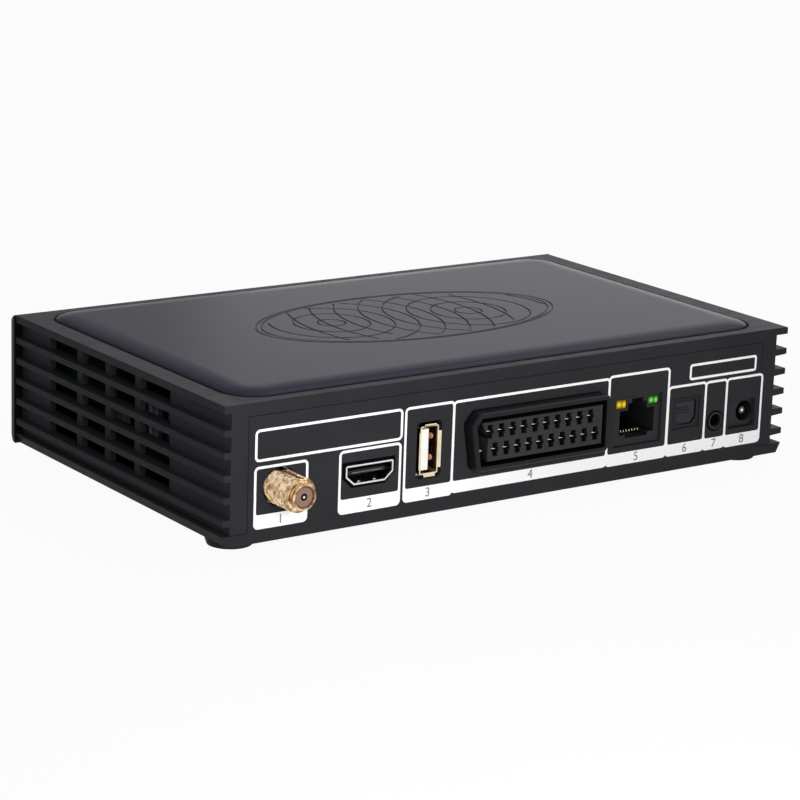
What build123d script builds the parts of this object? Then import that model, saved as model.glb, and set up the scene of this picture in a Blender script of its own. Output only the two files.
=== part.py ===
from build123d import *
import os

# Satellite television receiver: a flat plastic case whose side walls carry long cooling fins,
# a row of sockets along the rear, a display and three push buttons on the front.
# Millimetres. +Z is up, the front faces -Y and the sockets face +Y.
# The origin is the centre of the whole object's footprint, on the surface it stands on.
# The antenna side is +X, the power side -X.

# ---------------------------------------------------------------- case
case_width = 190.0
case_depth = 114.0
case_height = 37.3             # from the lower shell's underside to the cover's flat border
foot_height = 2.4
clearance = 0.15               # between pieces that are put together by hand
tight_clearance = 0.08         # between a socket's metal and its own plastic
wall = 1.8
floor_thickness = 2.0
edge_round = 0.35

lip_height = 2.9               # the lower shell's visible side edge
lip_draft = 1.5                # how far that edge leans in at the bottom
tongue_height = 3.2            # locating rib that stands above the lip, inside the cover's walls
tongue_thickness = 1.2
rear_panel_thickness = 2.0
rear_skirt = 3.6               # height of the cover above the rear panel
rear_post_width = 5.1          # cover posts that close the two rear corners
rear_post_depth = 3.0

cover_band = 2.0               # thickness of the cover's overhanging edge
cover_plate = 3.0              # thickness of the cover's plate between the walls
antenna_side_recess = 2.1      # how far each side wall stands in from the fin tips
power_side_recess = 4.15

fin_count = 5
first_fin_drop = 6.25          # from the cover's border down to the uppermost fin's flat top
last_fin_rise = 4.44           # from the lower shell's lip up to the lowest fin's flat top
fin_tip_thickness = 1.7
fin_root_thickness = 2.0

vent_lengths = [15.4, 13.0, 12.7, 15.2]    # rear column first
vent_rib = 2.9
vent_from_rear = 30.1

border_side = 6.4              # flat border of the cover around the raised panel
border_rear = 3.7
border_front = 5.0
recess_depth = 1.0
recess_corner = 10.0
panel_gap = 0.6
panel_lip = 0.65               # straight part of the raised panel's edge
panel_rise = 1.2               # how far the panel's top stands above the border
panel_roll = 7.0               # width of the panel's rolled edge

foot_top_radius = 6.8
foot_bottom_radius = 6.0
rear_foot_from_side = 8.6
rear_foot_from_rear = 10.4
front_foot_from_side = 14.0    # hidden under the case
front_foot_from_front = 10.5

floor_vent_count = 11
floor_vent_pitch = 7.0
floor_vent_width = 2.0
floor_vent_length = 16.0
floor_vent_rows = [43.3, 70.7]             # middle of each row, from the rear

# ---------------------------------------------------------------- fasteners
case_screw_radius = 1.5
case_screw_head_radius = 2.8
case_screw_head_height = 1.8
case_screw_length = 12.0
case_boss_wall = 1.7           # round the screw, in the cover's bosses
screw_seat_wall = 0.85         # round the screw's head, in the lower shell
screw_seat_height = 4.2        # the head's seat above the lower shell's underside
screw_seat_thickness = 1.6
case_screw_places = [(1, 30.5, 22.0), (-1, 16.0, 30.0)]         # side, from that side, from the rear

board_screw_radius = 1.3
board_screw_head_radius = 2.4
board_screw_head_height = 1.5
board_screw_length = 6.0
standoff_wall = 1.5
board_screw_places = [(1, 39.0), (-1, 47.0)]                    # side, from that side
board_screw_from_rear = 40.0
board_support_from_front = 4.8             # of the front supports, from the board's front edge
hook_width = 7.0               # snap hooks that hold the board's front edge
hook_thickness = 1.4
hook_catch = 0.7
hook_rise = 1.6

# ---------------------------------------------------------------- boards
board_top = 9.6                # above the lower shell's underside
board_thickness = 1.6
board_from_rear = 2.8
board_from_side = 10.0
board_gap = 3.6                # between the main board's front edge and the front board
board_hole_clearance = 0.9

bezel_thickness = 2.0
bezel_top_round = 1.8
bezel_bottom_round = 3.2
bezel_round_depth = 1.85
bezel_side_edge = 0.4
bezel_overhang = 0.5           # of the bezel beyond each side of the cover
bezel_post_size = 4.4
bezel_post_from_side = 15.0
bezel_post_from_edge = 3.9     # of each post's axis, inside the front board's edges
bezel_lug_count = 4
bezel_lug_pitch = 40.0
bezel_lug_width = 8.0
bezel_lug_reach = 5.0
bezel_lug_thickness = 1.5
front_board_gap = 5.0          # between the bezel's back and the front board
front_board_from_side = 11.0
front_board_low = 6.6
front_board_from_cover = 3.4
link_header_width = 28.0
link_header_tall = 5.0
link_header_overlap = 5.0      # how far it stands on the main board
link_header_edge = 0.6

# ---------------------------------------------------------------- front controls
window_width = 66.0
window_height = 18.0
window_from_top = 8.5
window_flange = 1.5
window_thickness = 1.6
window_recess = 0.15
display_width = 30.2
display_tall = 14.0
display_gap = 0.2              # behind the window
display_x = 10.0
receiver_from_window_end = 11.0
receiver_radius = 1.9
receiver_width = 5.6
receiver_tall = 6.6
receiver_base = 1.0
status_lamp_from_receiver = 10.0
status_lamp_radius = 1.5
lamp_base = 1.1
button_travel = 0.4
button_proud = 0.6
button_clearance = 0.12
button_flange = 1.0
button_flange_gap = 0.02
button_stem = 2.4
button_rest_gap = 0.05         # left between a pressed button's stem and its switch
button_edge = 0.35
button_height_on_front = 19.5
power_button_from_side = 23.0
power_button_radius = 4.0
channel_button_width = 10.0
channel_button_height = 4.6
channel_button_pitch = 15.0
channel_up_from_side = 22.0
switch_body = 6.0
switch_body_height = 2.6
switch_plunger = 3.0
switch_plunger_height = 0.5
switch_root = 0.2              # of the plunger, inside its body

# ---------------------------------------------------------------- spaces along the rear
tuner_from_wall = 4.5          # fixed, at the antenna side
power_from_wall = 4.4          # fixed, at the power side
video_space = 11.1             # in front of each socket, counted from the antenna side: these share
data_space = 8.8               # the room that the sockets leave free, in these proportions
tv_space = 6.7
lan_space = 3.455
optical_space = 3.8
jack_space = 2.35
power_space = 1.75

# ---------------------------------------------------------------- coaxial socket
coax_height = 4.6              # axis above the board
coax_thread_radius = 4.76
coax_flat_height = 3.9         # of the flat along the top of the thread, above the axis
coax_thread_reach = 9.6        # beyond the rear panel
coax_reach = 11.5
coax_nose_radius = 3.5
coax_chamfer = 0.6
coax_base_radius = 4.4
coax_thread_start = 0.3        # of the thread, beyond the rear panel
coax_panel_gap = 0.45
coax_bore_radius = 2.65
coax_bead_recess = 0.5
coax_contact_radius = 0.85
coax_contact_bore = 0.5
coax_contact_recess = 1.3
tuner_width = 17.4
tuner_depth = 32.0
tuner_height = 12.6
tuner_sheet = 0.4
tuner_edge = 0.5

# ---------------------------------------------------------------- video socket
video_height = 4.5
video_width = 15.0
video_tall = 5.4
video_foot_width = 9.8
video_upright = 3.15           # height of the upright part of its sides
video_corner = 0.5
video_panel_gap = 0.35
video_sheet = 0.45
video_depth = 12.0
video_proud = 0.5
video_tongue_width = 11.6
video_tongue_thickness = 1.1
video_tongue_rise = 0.25       # above the socket's middle
video_tongue_recess = 1.0
video_block_length = 3.0
video_heel = 1.6
video_heel_margin = 1.0
video_leg_recess = 4.0

# ---------------------------------------------------------------- data socket
data_height = 8.0
data_width = 5.9
data_tall = 13.3
data_sheet = 0.35
data_flare = 0.6
data_lip_corner = 1.6          # how far the upright lips stop from the corners
data_lip_end = 1.1             # the same for the short lips
data_panel_gap = 1.15
data_depth = 14.0
data_proud = 0.5
data_tongue_thickness = 2.3
data_tongue_tall = 11.2
data_tongue_gap = 0.35
data_tongue_recess = 0.6
data_block_length = 3.0
data_heel = 1.5
data_leg_recess = 4.0

# ---------------------------------------------------------------- television socket
tv_height = 8.8
tv_contacts_per_row = 10
tv_contact_pitch = 3.81
tv_row_spacing = 5.08
tv_end_margin = 5.45           # from the last contact at each end to the collar's outside
tv_row_offset = 0.4525         # how far the rows stand towards the antenna side
tv_top_row_rise = 2.75
tv_tall = 16.2
tv_collar_wall = 1.35
tv_collar_reach = 4.0
tv_collar_corner = 1.6
tv_rim_edge = 0.4
tv_slot = 1.3
tv_slot_depth = 6.0            # inside the rear panel's face
tv_corner_run = 2.6            # slanted upper corner on the antenna side
tv_corner_drop = 3.2
tv_side_lean = 2.0
tv_body_depth = 12.0
tv_flange = 1.6
tv_insert_recess = 0.3         # of the contact block's face inside the rim
tv_key_run = 2.2               # slanted upper corner of the contact block
tv_key_drop = 4.2
tv_key_margin = 0.7
tv_hole_tall = 3.8
tv_hole_width = 1.7
tv_cross_width = 2.4
tv_cross_tall = 1.2
tv_hole_depth = 6.0
tv_contact_recess = 1.8
tv_blade_thickness = 0.6
tv_shield_from_contact = 2.0
tv_shield_width = 1.1
tv_shield_tall = 0.8
tv_shield_drop = 0.4

# ---------------------------------------------------------------- network socket
lan_side_wall = 2.15
lan_top_wall = 0.7
lan_depth = 18.0
lan_face_depth = 0.6
lan_cavity_width = 12.4
lan_cavity_low = 3.0
lan_cavity_tall = 7.0
lan_step_width = 6.7
lan_step_tall = 2.0
lan_latch_width = 4.0
lan_latch_tall = 1.2
lan_foot_width = 8.0
lan_foot_tall = 1.0
lan_cavity_depth = 13.0
lan_lamp_width = 3.6
lan_lamp_tall = 2.5
lan_lamp_from_side = 0.8
lan_lamp_from_top = 0.75
lan_lamp_depth = 5.0
lan_lamp_edge = 0.35
lan_contact_count = 8
lan_contact_pitch = 1.02
lan_contact_size = 0.4
lan_contact_run = 9.0          # from the cavity's back to the contacts' front ends
lan_contact_rise = 2.2

# ---------------------------------------------------------------- optical socket
optical_height = 6.85
optical_side_wall = 1.15
optical_end_wall = 0.95
optical_shoulder = 0.65        # of the body, beside the part that fills the panel
optical_crown = 0.7
optical_recess = 0.25
optical_depth = 13.0
optical_mouth_width = 7.4
optical_mouth_tall = 6.8
optical_mouth_chamfer = 1.6
optical_cavity_depth = 9.8
optical_lens_radius = 1.1
optical_lens_length = 1.2
optical_lens_root = 1.5
optical_lens_drop = 0.6
shutter_recess = 0.7
shutter_thickness = 0.8
shutter_clearance = 0.12
shutter_pin_radius = 0.45
shutter_pin_length = 0.7
shutter_pin_clearance = 0.06
shutter_end_gap = 0.1

# ---------------------------------------------------------------- audio-size jack
jack_height = 3.3
jack_ring_radius = 2.6
jack_recess = 0.1
jack_bore_radius = 1.8
jack_bore_depth = 12.0
jack_body_margin = 0.5         # round the ring
jack_crown = 0.3
jack_body_depth = 13.0

# ---------------------------------------------------------------- power inlet
power_height = 4.3
power_recess = 1.2
power_face_width = 9.6
power_face_tall = 7.9
power_flange = 0.6
power_crown = 1.4
power_bore_radius = 3.0
power_bore_wall = 0.15
power_bore_depth = 9.5
power_pin_radius = 1.05
power_pin_recess = 0.8
power_body_depth = 13.5

# ---------------------------------------------------------------- board components
processor_x = 10.0
processor_from_rear = 58.0
processor_size = 19.0
processor_height = 1.6
heatsink_size = 24.0
heatsink_base = 2.0
heatsink_fin_height = 7.0
heatsink_fin_count = 8
heatsink_fin_thickness = 1.0
# side, from the board's side edge, depth from the rear, radius, height
capacitor_places = [(1, 9.0, 52.0, 4.0, 14.0), (1, 9.0, 63.0, 4.0, 12.0),
                    (-1, 15.0, 52.0, 4.0, 14.0), (-1, 15.0, 63.0, 4.0, 12.0)]
# side, from the board's side edge, depth from the rear, width
coil_places = [(1, 9.0, 79.0, 9.0), (-1, 15.0, 80.0, 9.0), (1, 51.0, 84.0, 7.0)]
coil_height = 6.5
coil_corner = 1.4
memory_places = [(-26.0, 58.0), (-26.0, 74.0)]
memory_width = 12.0
memory_depth = 8.0
memory_height = 1.2

# ---------------------------------------------------------------- derived sizes
tv_width = (tv_contacts_per_row - 0.5) * tv_contact_pitch + 2 * tv_end_margin
tv_body_width = tv_width + 2 * tv_flange
lan_width = lan_cavity_width + 2 * lan_side_wall
lan_tall = lan_cavity_low + lan_cavity_tall + lan_step_tall + lan_latch_tall + lan_top_wall
optical_width = optical_mouth_width + 2 * optical_side_wall
optical_tall = optical_mouth_tall + 2 * optical_end_wall
optical_body_width = optical_width + 2 * optical_shoulder
optical_body_tall = optical_height + optical_tall / 2 + optical_crown
jack_body_width = 2 * (jack_ring_radius + jack_body_margin)
jack_body_tall = jack_height + jack_ring_radius + jack_crown
power_body_width = power_face_width + 2 * power_flange

# space in front of each socket, and the socket's width behind the panel, from the antenna side
rear_row = {
    "coax": (0.0, tuner_width),
    "video": (video_space, video_width),
    "data": (data_space, data_width),
    "tv": (tv_space, tv_body_width),
    "lan": (lan_space, lan_width),
    "optical": (optical_space, optical_body_width),
    "jack": (jack_space, jack_body_width),
    "power": (power_space, power_body_width),
}
row_room = case_width - antenna_side_recess - power_side_recess - 2 * wall - tuner_from_wall - power_from_wall
free_room = row_room - sum(width for space, width in rear_row.values())
space_share = free_room / sum(space for space, width in rear_row.values())

# ---------------------------------------------------------------- derived places
half_width = case_width / 2
total_depth = button_proud + case_depth + coax_reach
rear_y = total_depth / 2 - coax_reach
front_y = rear_y - case_depth
edge_z = foot_height                               # the lower shell's underside
top_z = edge_z + case_height
board_z = edge_z + board_top
inner_front_y = front_y + bezel_thickness
front_board_front_y = inner_front_y + front_board_gap
front_board_back_y = front_board_front_y + board_thickness
board_front_y = front_board_back_y + board_gap
board_rear_y = rear_y - board_from_rear
board_half_width = half_width - board_from_side
front_board_high = case_height - cover_plate - front_board_from_cover
rear_panel_top = case_height - rear_skirt
first_fin_top = case_height - first_fin_drop
fin_pitch = (first_fin_top - lip_height - last_fin_rise) / (fin_count - 1)
window_z = top_z - window_from_top - window_height / 2
button_z = edge_z + button_height_on_front
receiver_x = receiver_from_window_end - window_width / 2
status_lamp_x = receiver_x + status_lamp_from_receiver
recess = {1: antenna_side_recess, -1: power_side_recess}

socket_x = {}
row_edge = half_width - antenna_side_recess - wall - tuner_from_wall
for socket, (space, width) in rear_row.items():
    row_edge -= space * space_share
    socket_x[socket] = row_edge - width / 2
    row_edge -= width
coax_x = socket_x["coax"]
video_x = socket_x["video"]
data_x = socket_x["data"]
tv_x = socket_x["tv"]
lan_x = socket_x["lan"]
optical_x = socket_x["optical"]
jack_x = socket_x["jack"]
power_face_x = socket_x["power"]
power_x = power_face_x - (power_face_width / 2 - power_bore_radius - power_bore_wall)


# ---------------------------------------------------------------- helpers
def block(x_low, x_high, y_low, y_high, z_low, z_high):
    """A box between two corners."""
    centre = Pos((x_low + x_high) / 2, (y_low + y_high) / 2, (z_low + z_high) / 2)
    return centre * Box(x_high - x_low, y_high - y_low, z_high - z_low)


def from_rear(sketch, depth_from_rear, length):
    """Extrudes a sketch drawn in X and Z towards the front, from a plane so far inside the rear face."""
    return extrude(Plane.XZ.offset(depth_from_rear - rear_y) * sketch, amount=length)


def from_front(sketch, depth_from_front, length):
    """Extrudes a sketch drawn in X and Z towards the rear, from a plane so far inside the front face."""
    return extrude(Plane.XZ.offset(-(front_y + depth_from_front)) * sketch, amount=-length)


def rod(radius, x, z, depth_from_rear, length):
    """A round bar along Y that starts so far inside the rear face and runs towards the front."""
    return from_rear(Pos(x, z) * Circle(radius), depth_from_rear, length)


def pillar(radius, x, y, z_low, z_high):
    """An upright round bar."""
    return Pos(x, y, (z_low + z_high) / 2) * Cylinder(radius, z_high - z_low)


def stake(half, x, y, z_low, z_high):
    """An upright square bar."""
    return block(x - half, x + half, y - half, y + half, z_low, z_high)


def wall_outer(side):
    """X of the outer face of one side wall."""
    return side * (half_width - recess[side])


def wall_inner(side):
    """X of the inner face of one side wall."""
    return side * (half_width - recess[side] - wall)


def foot_points():
    """X and Y of the four feet."""
    rear = [(side * (half_width - rear_foot_from_side), rear_y - rear_foot_from_rear) for side in (-1, 1)]
    front = [(side * (half_width - front_foot_from_side), front_y + front_foot_from_front)
             for side in (-1, 1)]
    return rear + front


def case_screw_points():
    """X and Y of the two screws that hold the case together."""
    return [(side * (half_width - inward), rear_y - depth) for side, inward, depth in case_screw_places]


def board_screw_points():
    """X and Y of the two screws that hold the main board near its sockets."""
    return [(side * (half_width - inward), rear_y - board_screw_from_rear)
            for side, inward in board_screw_places]


def board_support_points():
    """X and Y of the two plain supports under the main board's front edge."""
    return [(x, board_front_y + board_support_from_front) for x, y in board_screw_points()]


# ---------------------------------------------------------------- socket outlines, in X and Z
def video_outline(grow=0.0):
    """Six-sided outline of the video socket, wide at the top, grown all round."""
    half = video_width / 2
    foot = video_foot_width / 2
    tall = video_tall / 2
    points = [(-half, tall), (half, tall), (half, tall - video_upright), (foot, -tall), (-foot, -tall),
              (-half, tall - video_upright)]
    shape = fillet(make_face(Polyline(*points, close=True)).vertices(), video_corner)
    if grow:
        shape = offset(shape, grow, kind=Kind.ARC)
    return Pos(video_x, board_z + video_height) * shape


def tv_outline(shrink=0.0):
    """Outline of the television socket: a rectangle whose antenna side is slanted, shrunk all round."""
    half = tv_width / 2
    tall = tv_tall / 2
    points = [(-half, -tall), (half - tv_side_lean, -tall), (half, tall - tv_corner_drop),
              (half - tv_corner_run, tall), (-half, tall)]
    shape = fillet(make_face(Polyline(*points, close=True)).vertices(), tv_collar_corner)
    if shrink:
        shape = offset(shape, -shrink, kind=Kind.ARC)
    return Pos(tv_x, board_z + tv_height) * shape


def optical_mouth(shrink=0.0):
    """Opening for the optical plug: a rectangle with its two lower corners cut off, shrunk all round."""
    half = optical_mouth_width / 2 - shrink
    tall = optical_mouth_tall / 2 - shrink
    cut = optical_mouth_chamfer
    points = [(-half, tall), (half, tall), (half, -tall + cut), (half - cut, -tall),
              (-half + cut, -tall), (-half, -tall + cut)]
    return Pos(optical_x, board_z + optical_height) * make_face(Polyline(*points, close=True))


def plain_outline(x, z, width, tall, corner):
    """A rounded rectangle centred on x and z."""
    return Pos(x, z) * RectangleRounded(width, tall, corner)


def rear_cut_outs():
    """Every opening in the rear panel, each with its socket's clearance."""
    lan_z = board_z + lan_tall / 2
    power_z = board_z + power_face_tall / 2
    return Sketch() + [
        Pos(coax_x, board_z + coax_height) * Circle(coax_thread_radius + coax_panel_gap),
        video_outline(video_panel_gap),
        Pos(data_x, board_z + data_height) * Rectangle(data_width + 2 * data_panel_gap,
                                                       data_tall + 2 * data_panel_gap),
        tv_outline(-clearance),
        Pos(lan_x, lan_z) * Rectangle(lan_width + 2 * clearance, lan_tall + 2 * clearance),
        Pos(optical_x, board_z + optical_height) * Rectangle(optical_width + 2 * clearance,
                                                             optical_tall + 2 * clearance),
        Pos(jack_x, board_z + jack_height) * Circle(jack_ring_radius + clearance),
        Pos(power_face_x, power_z) * Rectangle(power_face_width + 2 * clearance,
                                               power_face_tall + 2 * clearance),
    ]


# ---------------------------------------------------------------- case pieces
def bottom_shell():
    """Tray with leaning side edges, feet, a rear panel with the socket openings, and screw bosses."""
    low = half_width - lip_draft
    edge = Polyline((-low, edge_z), (low, edge_z), (half_width, edge_z + lip_height),
                    (-half_width, edge_z + lip_height), close=True)
    length = case_depth - bezel_thickness
    shell = from_rear(make_face(edge), 0, length)

    rib_low = wall_inner(-1) + clearance
    rib_high = wall_inner(1) - clearance
    rib_front = inner_front_y + clearance
    rib_rear = rear_y - rear_post_depth - clearance
    rib_top = edge_z + lip_height + tongue_height
    shell += block(rib_low, rib_high, rib_front, rib_rear, edge_z + floor_thickness, rib_top)
    shell -= block(rib_low + tongue_thickness, rib_high - tongue_thickness,
                   rib_front + tongue_thickness, rib_rear + rear_post_depth,
                   edge_z + floor_thickness, rib_top + 1)

    panel_low = wall_outer(-1) + rear_post_width + clearance
    panel_high = wall_outer(1) - rear_post_width - clearance
    shell += block(panel_low, panel_high, rear_y - rear_panel_thickness, rear_y,
                   edge_z, edge_z + rear_panel_top)

    for x, y in foot_points():
        shell += Pos(x, y, foot_height / 2) * Cone(foot_bottom_radius, foot_top_radius, foot_height)

    for x, y in case_screw_points():
        seat_top = edge_z + screw_seat_height + screw_seat_thickness
        head_bore = case_screw_head_radius + clearance
        shell += stake(head_bore + screw_seat_wall, x, y, edge_z + floor_thickness / 2, seat_top)
        shell -= pillar(head_bore, x, y, edge_z - 1, edge_z + screw_seat_height)
        shell -= pillar(case_screw_radius + clearance, x, y, edge_z, seat_top + 1)

    standoff_top = board_z - board_thickness
    standoff_half = board_screw_radius + standoff_wall
    for x, y in board_screw_points() + board_support_points():
        shell += stake(standoff_half, x, y, edge_z + floor_thickness / 2, standoff_top)
    for x, y in board_screw_points():
        shell -= pillar(board_screw_radius, x, y, edge_z + floor_thickness / 2, standoff_top + 1)
    shell += board_hooks()

    slots = []
    for from_rear_edge in floor_vent_rows:
        for number in range(floor_vent_count):
            x = (number - (floor_vent_count - 1) / 2) * floor_vent_pitch
            slot = Box(floor_vent_width, floor_vent_length, 3 * floor_thickness)
            slots.append(Pos(x, rear_y - from_rear_edge, edge_z) * slot)
    shell -= slots
    return shell - from_rear(rear_cut_outs(), -1, rear_panel_thickness + 2)


def board_hooks():
    """Two snap hooks with sloped lead-ins, over the main board's front edge."""
    face_y = board_front_y - clearance
    back_y = face_y - hook_thickness
    low = edge_z + floor_thickness / 2
    catch_z = board_z + clearance
    top = board_z + hook_rise
    profile = Polyline((back_y, low), (face_y, low), (face_y, catch_z), (board_front_y + hook_catch, catch_z),
                       (board_front_y + hook_catch, catch_z + hook_catch / 2), (face_y, top),
                       (back_y, top), close=True)
    hook = extrude(Plane.YZ * make_face(profile), amount=hook_width / 2, both=True)
    return [Pos(x, 0, 0) * hook for x, y in board_support_points()]


def fin_outline(side, top):
    """Cross-section of one cooling fin: flat on top, drafted underneath."""
    root = wall_outer(side) - side * wall / 2
    tip = side * half_width
    return make_face(Polyline((root, top), (tip, top), (tip, top - fin_tip_thickness),
                              (root, top - fin_root_thickness), close=True))


def side_vents():
    """The openings between the fins, in rows and columns, through both side walls."""
    cuts = []
    for side in (-1, 1):
        x_pair = sorted((wall_outer(side) + side * 0.01, wall_inner(side) - side * 1.0))
        for row in range(fin_count):
            low = edge_z + first_fin_top - row * fin_pitch
            high = low + fin_pitch - fin_root_thickness
            if row == 0:
                high = top_z - cover_band - clearance
            y = rear_y - vent_from_rear
            for length in vent_lengths:
                cuts.append(block(*x_pair, y - length, y, low, high))
                y -= length + vent_rib
    return cuts


def cover_plate_solid():
    """The cover's flat top with the sunk bed for the raised panel and softened edges."""
    y_low = inner_front_y + clearance / 2
    plate = block(-half_width, half_width, y_low, rear_y, top_z - cover_band, top_z)
    soft = plate.edges().group_by(Axis.Z)[-1].sort_by(Axis.Y)[1:]
    plate = fillet(soft, edge_round)
    bed = RectangleRounded(bed_width, bed_depth, recess_corner)
    plate += block(wall_inner(-1), wall_inner(1), y_low, rear_y, top_z - cover_plate,
                   top_z - cover_band)
    plate -= extrude(Pos(0, bed_y, top_z - recess_depth) * bed, amount=recess_depth + 1)
    rim = plate.edges().filter_by_position(Axis.Z, top_z - 0.01, top_z + 0.01)
    inner = [e for e in rim if abs(e.center().X) < bed_width / 2 + 1 and e.center().Y < rear_y - 1]
    return chamfer([e for e in inner if e.center().Y > y_low + 1], 0.25)


bed_width = case_width - 2 * border_side
bed_depth = case_depth - border_rear - border_front
bed_y = rear_y - border_rear - bed_depth / 2


def top_cover():
    """Cover: plate, two finned and vented side walls, rear corner posts, rear skirt and screw bosses."""
    wall_low = edge_z + lip_height + clearance
    wall_high = top_z - cover_band
    y_low = inner_front_y + clearance / 2
    cover = cover_plate_solid()
    for side in (-1, 1):
        faces = sorted((wall_outer(side), wall_inner(side)))
        cover += block(*faces, y_low, rear_y, wall_low, wall_high)
        fins = []
        for number in range(fin_count):
            outline = fin_outline(side, edge_z + first_fin_top - number * fin_pitch)
            fins.append(from_rear(outline, 0, rear_y - y_low))
        cover += fins
        post = sorted((wall_outer(side), wall_outer(side) - side * rear_post_width))
        cover += block(*post, rear_y - rear_post_depth, rear_y, wall_low, wall_high)
    skirt_half_low = wall_outer(-1) + rear_post_width / 2
    skirt_half_high = wall_outer(1) - rear_post_width / 2
    cover += block(skirt_half_low, skirt_half_high, rear_y - rear_panel_thickness, rear_y,
                   edge_z + rear_panel_top + clearance, wall_high)
    boss_low = edge_z + screw_seat_height + screw_seat_thickness + clearance
    for x, y in case_screw_points():
        cover += stake(case_screw_radius + case_boss_wall, x, y, boss_low, top_z - cover_plate / 2)
        cover -= pillar(case_screw_radius, x, y, boss_low - 1, boss_low + case_screw_length)
    return cover - side_vents()


def rolled_profile():
    """Half cross-section of the panel's edge, drawn outwards from the corner's centre line."""
    outer = recess_corner - panel_gap
    inner = outer - panel_roll
    top = recess_depth + panel_rise
    roll = EllipticalCenterArc((inner, panel_lip), panel_roll, top - panel_lip, 0, arc_size=90)
    rest = Polyline((inner, top), (inner, 0), (outer, 0), (outer, panel_lip))
    return make_face([roll, rest])


def lid_panel():
    """Raised panel let into the cover, with its edge rolled down all round into the gap."""
    outer = recess_corner - panel_gap
    inner = outer - panel_roll
    half_x = bed_width / 2 - recess_corner
    half_y = bed_depth / 2 - recess_corner
    top = recess_depth + panel_rise
    profile = rolled_profile()
    panel = block(-half_x - inner, half_x + inner, -half_y, half_y, 0, top)
    panel += block(-half_x, half_x, -half_y - inner, half_y + inner, 0, top)
    for turn, run, reach in ((0, half_y, half_x), (90, half_x, half_y),
                             (180, half_y, half_x), (270, half_x, half_y)):
        edge = extrude(Plane.XZ * profile, amount=2 * run)
        panel += Rot(0, 0, turn) * Pos(reach, run, 0) * edge
        corner = revolve(Plane.XZ * profile, Axis.Z, 90)
        panel += Rot(0, 0, turn) * Pos(reach, run, 0) * corner
    for x in (-half_x, half_x):
        for y in (-half_y, half_y):
            panel += Pos(x, y, top / 2) * Cylinder(inner, top)
    return Pos(0, bed_y, top_z - recess_depth) * panel


def bezel_profile():
    """Side view of the front bezel: a plate whose upper and lower front edges are rounded."""
    y_back = inner_front_y
    y_round = front_y + bezel_round_depth
    z_low = edge_z
    top_arc = EllipticalCenterArc((y_round, top_z - bezel_top_round), bezel_round_depth,
                                  bezel_top_round, 90, arc_size=90)
    low_arc = EllipticalCenterArc((y_round, z_low + bezel_bottom_round), bezel_round_depth,
                                  bezel_bottom_round, 180, arc_size=90)
    front = Line((front_y, top_z - bezel_top_round), (front_y, z_low + bezel_bottom_round))
    back = Polyline((y_round, z_low), (y_back, z_low), (y_back, top_z), (y_round, top_z))
    return make_face([top_arc, front, low_arc, back])


channel_up_x = half_width - channel_up_from_side
button_places = {
    "power_button": power_button_from_side - half_width,
    "channel_down_button": channel_up_x - channel_button_pitch,
    "channel_up_button": channel_up_x,
}


def button_flange_outline(name):
    """Flange that stops one push button behind the bezel."""
    if name == "power_button":
        side = 2 * (power_button_radius + button_flange)
        return Pos(button_places[name], button_z) * Rectangle(side, side)
    width = channel_button_width + 2 * button_flange
    tall = channel_button_height + 2 * button_flange
    return Pos(button_places[name], button_z) * Rectangle(width, tall)


def button_outline(name, grow=0.0):
    """Face of one push button, grown all round."""
    if name == "power_button":
        return Pos(button_places[name], button_z) * Circle(power_button_radius + grow)
    width = channel_button_width + 2 * grow
    tall = channel_button_height + 2 * grow
    return Pos(button_places[name], button_z) * Rectangle(width, tall)


def window_outline(grow=0.0):
    """Outline of the display window, grown all round."""
    return Pos(0, window_z) * Rectangle(window_width + 2 * grow, window_height + 2 * grow)


def bezel_post_points():
    """X and Z of the four posts that carry the front board."""
    reach = half_width - bezel_post_from_side
    low = edge_z + front_board_low + bezel_post_from_edge
    high = edge_z + front_board_high - bezel_post_from_edge
    return [(x, z) for x in (-reach, reach) for z in (low, high)]


def front_bezel():
    """Front panel with openings for the display window and the buttons, and posts for the front board."""
    bezel = extrude(Plane.YZ * bezel_profile(), amount=half_width + bezel_overhang, both=True)
    uprights = bezel.edges().filter_by(Axis.Z).group_by(Axis.Y)[0]
    bezel = chamfer(uprights, bezel_side_edge)
    through = bezel_thickness + 2
    bezel -= from_front(window_outline(clearance), -1, through)
    for name in button_places:
        bezel -= from_front(button_outline(name, button_clearance), -1, through)
    root = bezel_thickness / 2
    posts = [Pos(x, z) * Rectangle(bezel_post_size, bezel_post_size) for x, z in bezel_post_points()]
    bezel += [from_front(post, bezel_thickness - root, front_board_gap + root) for post in posts]
    lug_top = top_z - cover_plate - clearance
    for number in range(bezel_lug_count):
        x = (number - (bezel_lug_count - 1) / 2) * bezel_lug_pitch
        bezel += block(x - bezel_lug_width / 2, x + bezel_lug_width / 2, inner_front_y - root,
                       inner_front_y + bezel_lug_reach, lug_top - bezel_lug_thickness, lug_top)
    return bezel


def display_window():
    """Smoked window: a raised lens with a flange that rests on the bezel's back."""
    lens = from_front(window_outline(), window_recess, bezel_thickness - window_recess)
    flange = from_front(window_outline(window_flange), bezel_thickness, window_thickness)
    return lens + flange


def push_button(name):
    """Button cap with a flange behind the bezel and a short stem towards its switch."""
    cap = from_front(button_outline(name), -button_proud, button_proud + bezel_thickness)
    cap = chamfer(cap.faces().sort_by(Axis.Y)[0].edges(), button_edge)
    flange = from_front(button_flange_outline(name), bezel_thickness + button_flange_gap, button_flange)
    tip = front_board_gap - switch_body_height - switch_plunger_height - button_travel - button_rest_gap
    stem = Pos(button_places[name], button_z) * Rectangle(button_stem, button_stem)
    return cap + flange + from_front(stem, bezel_thickness, tip)


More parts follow.
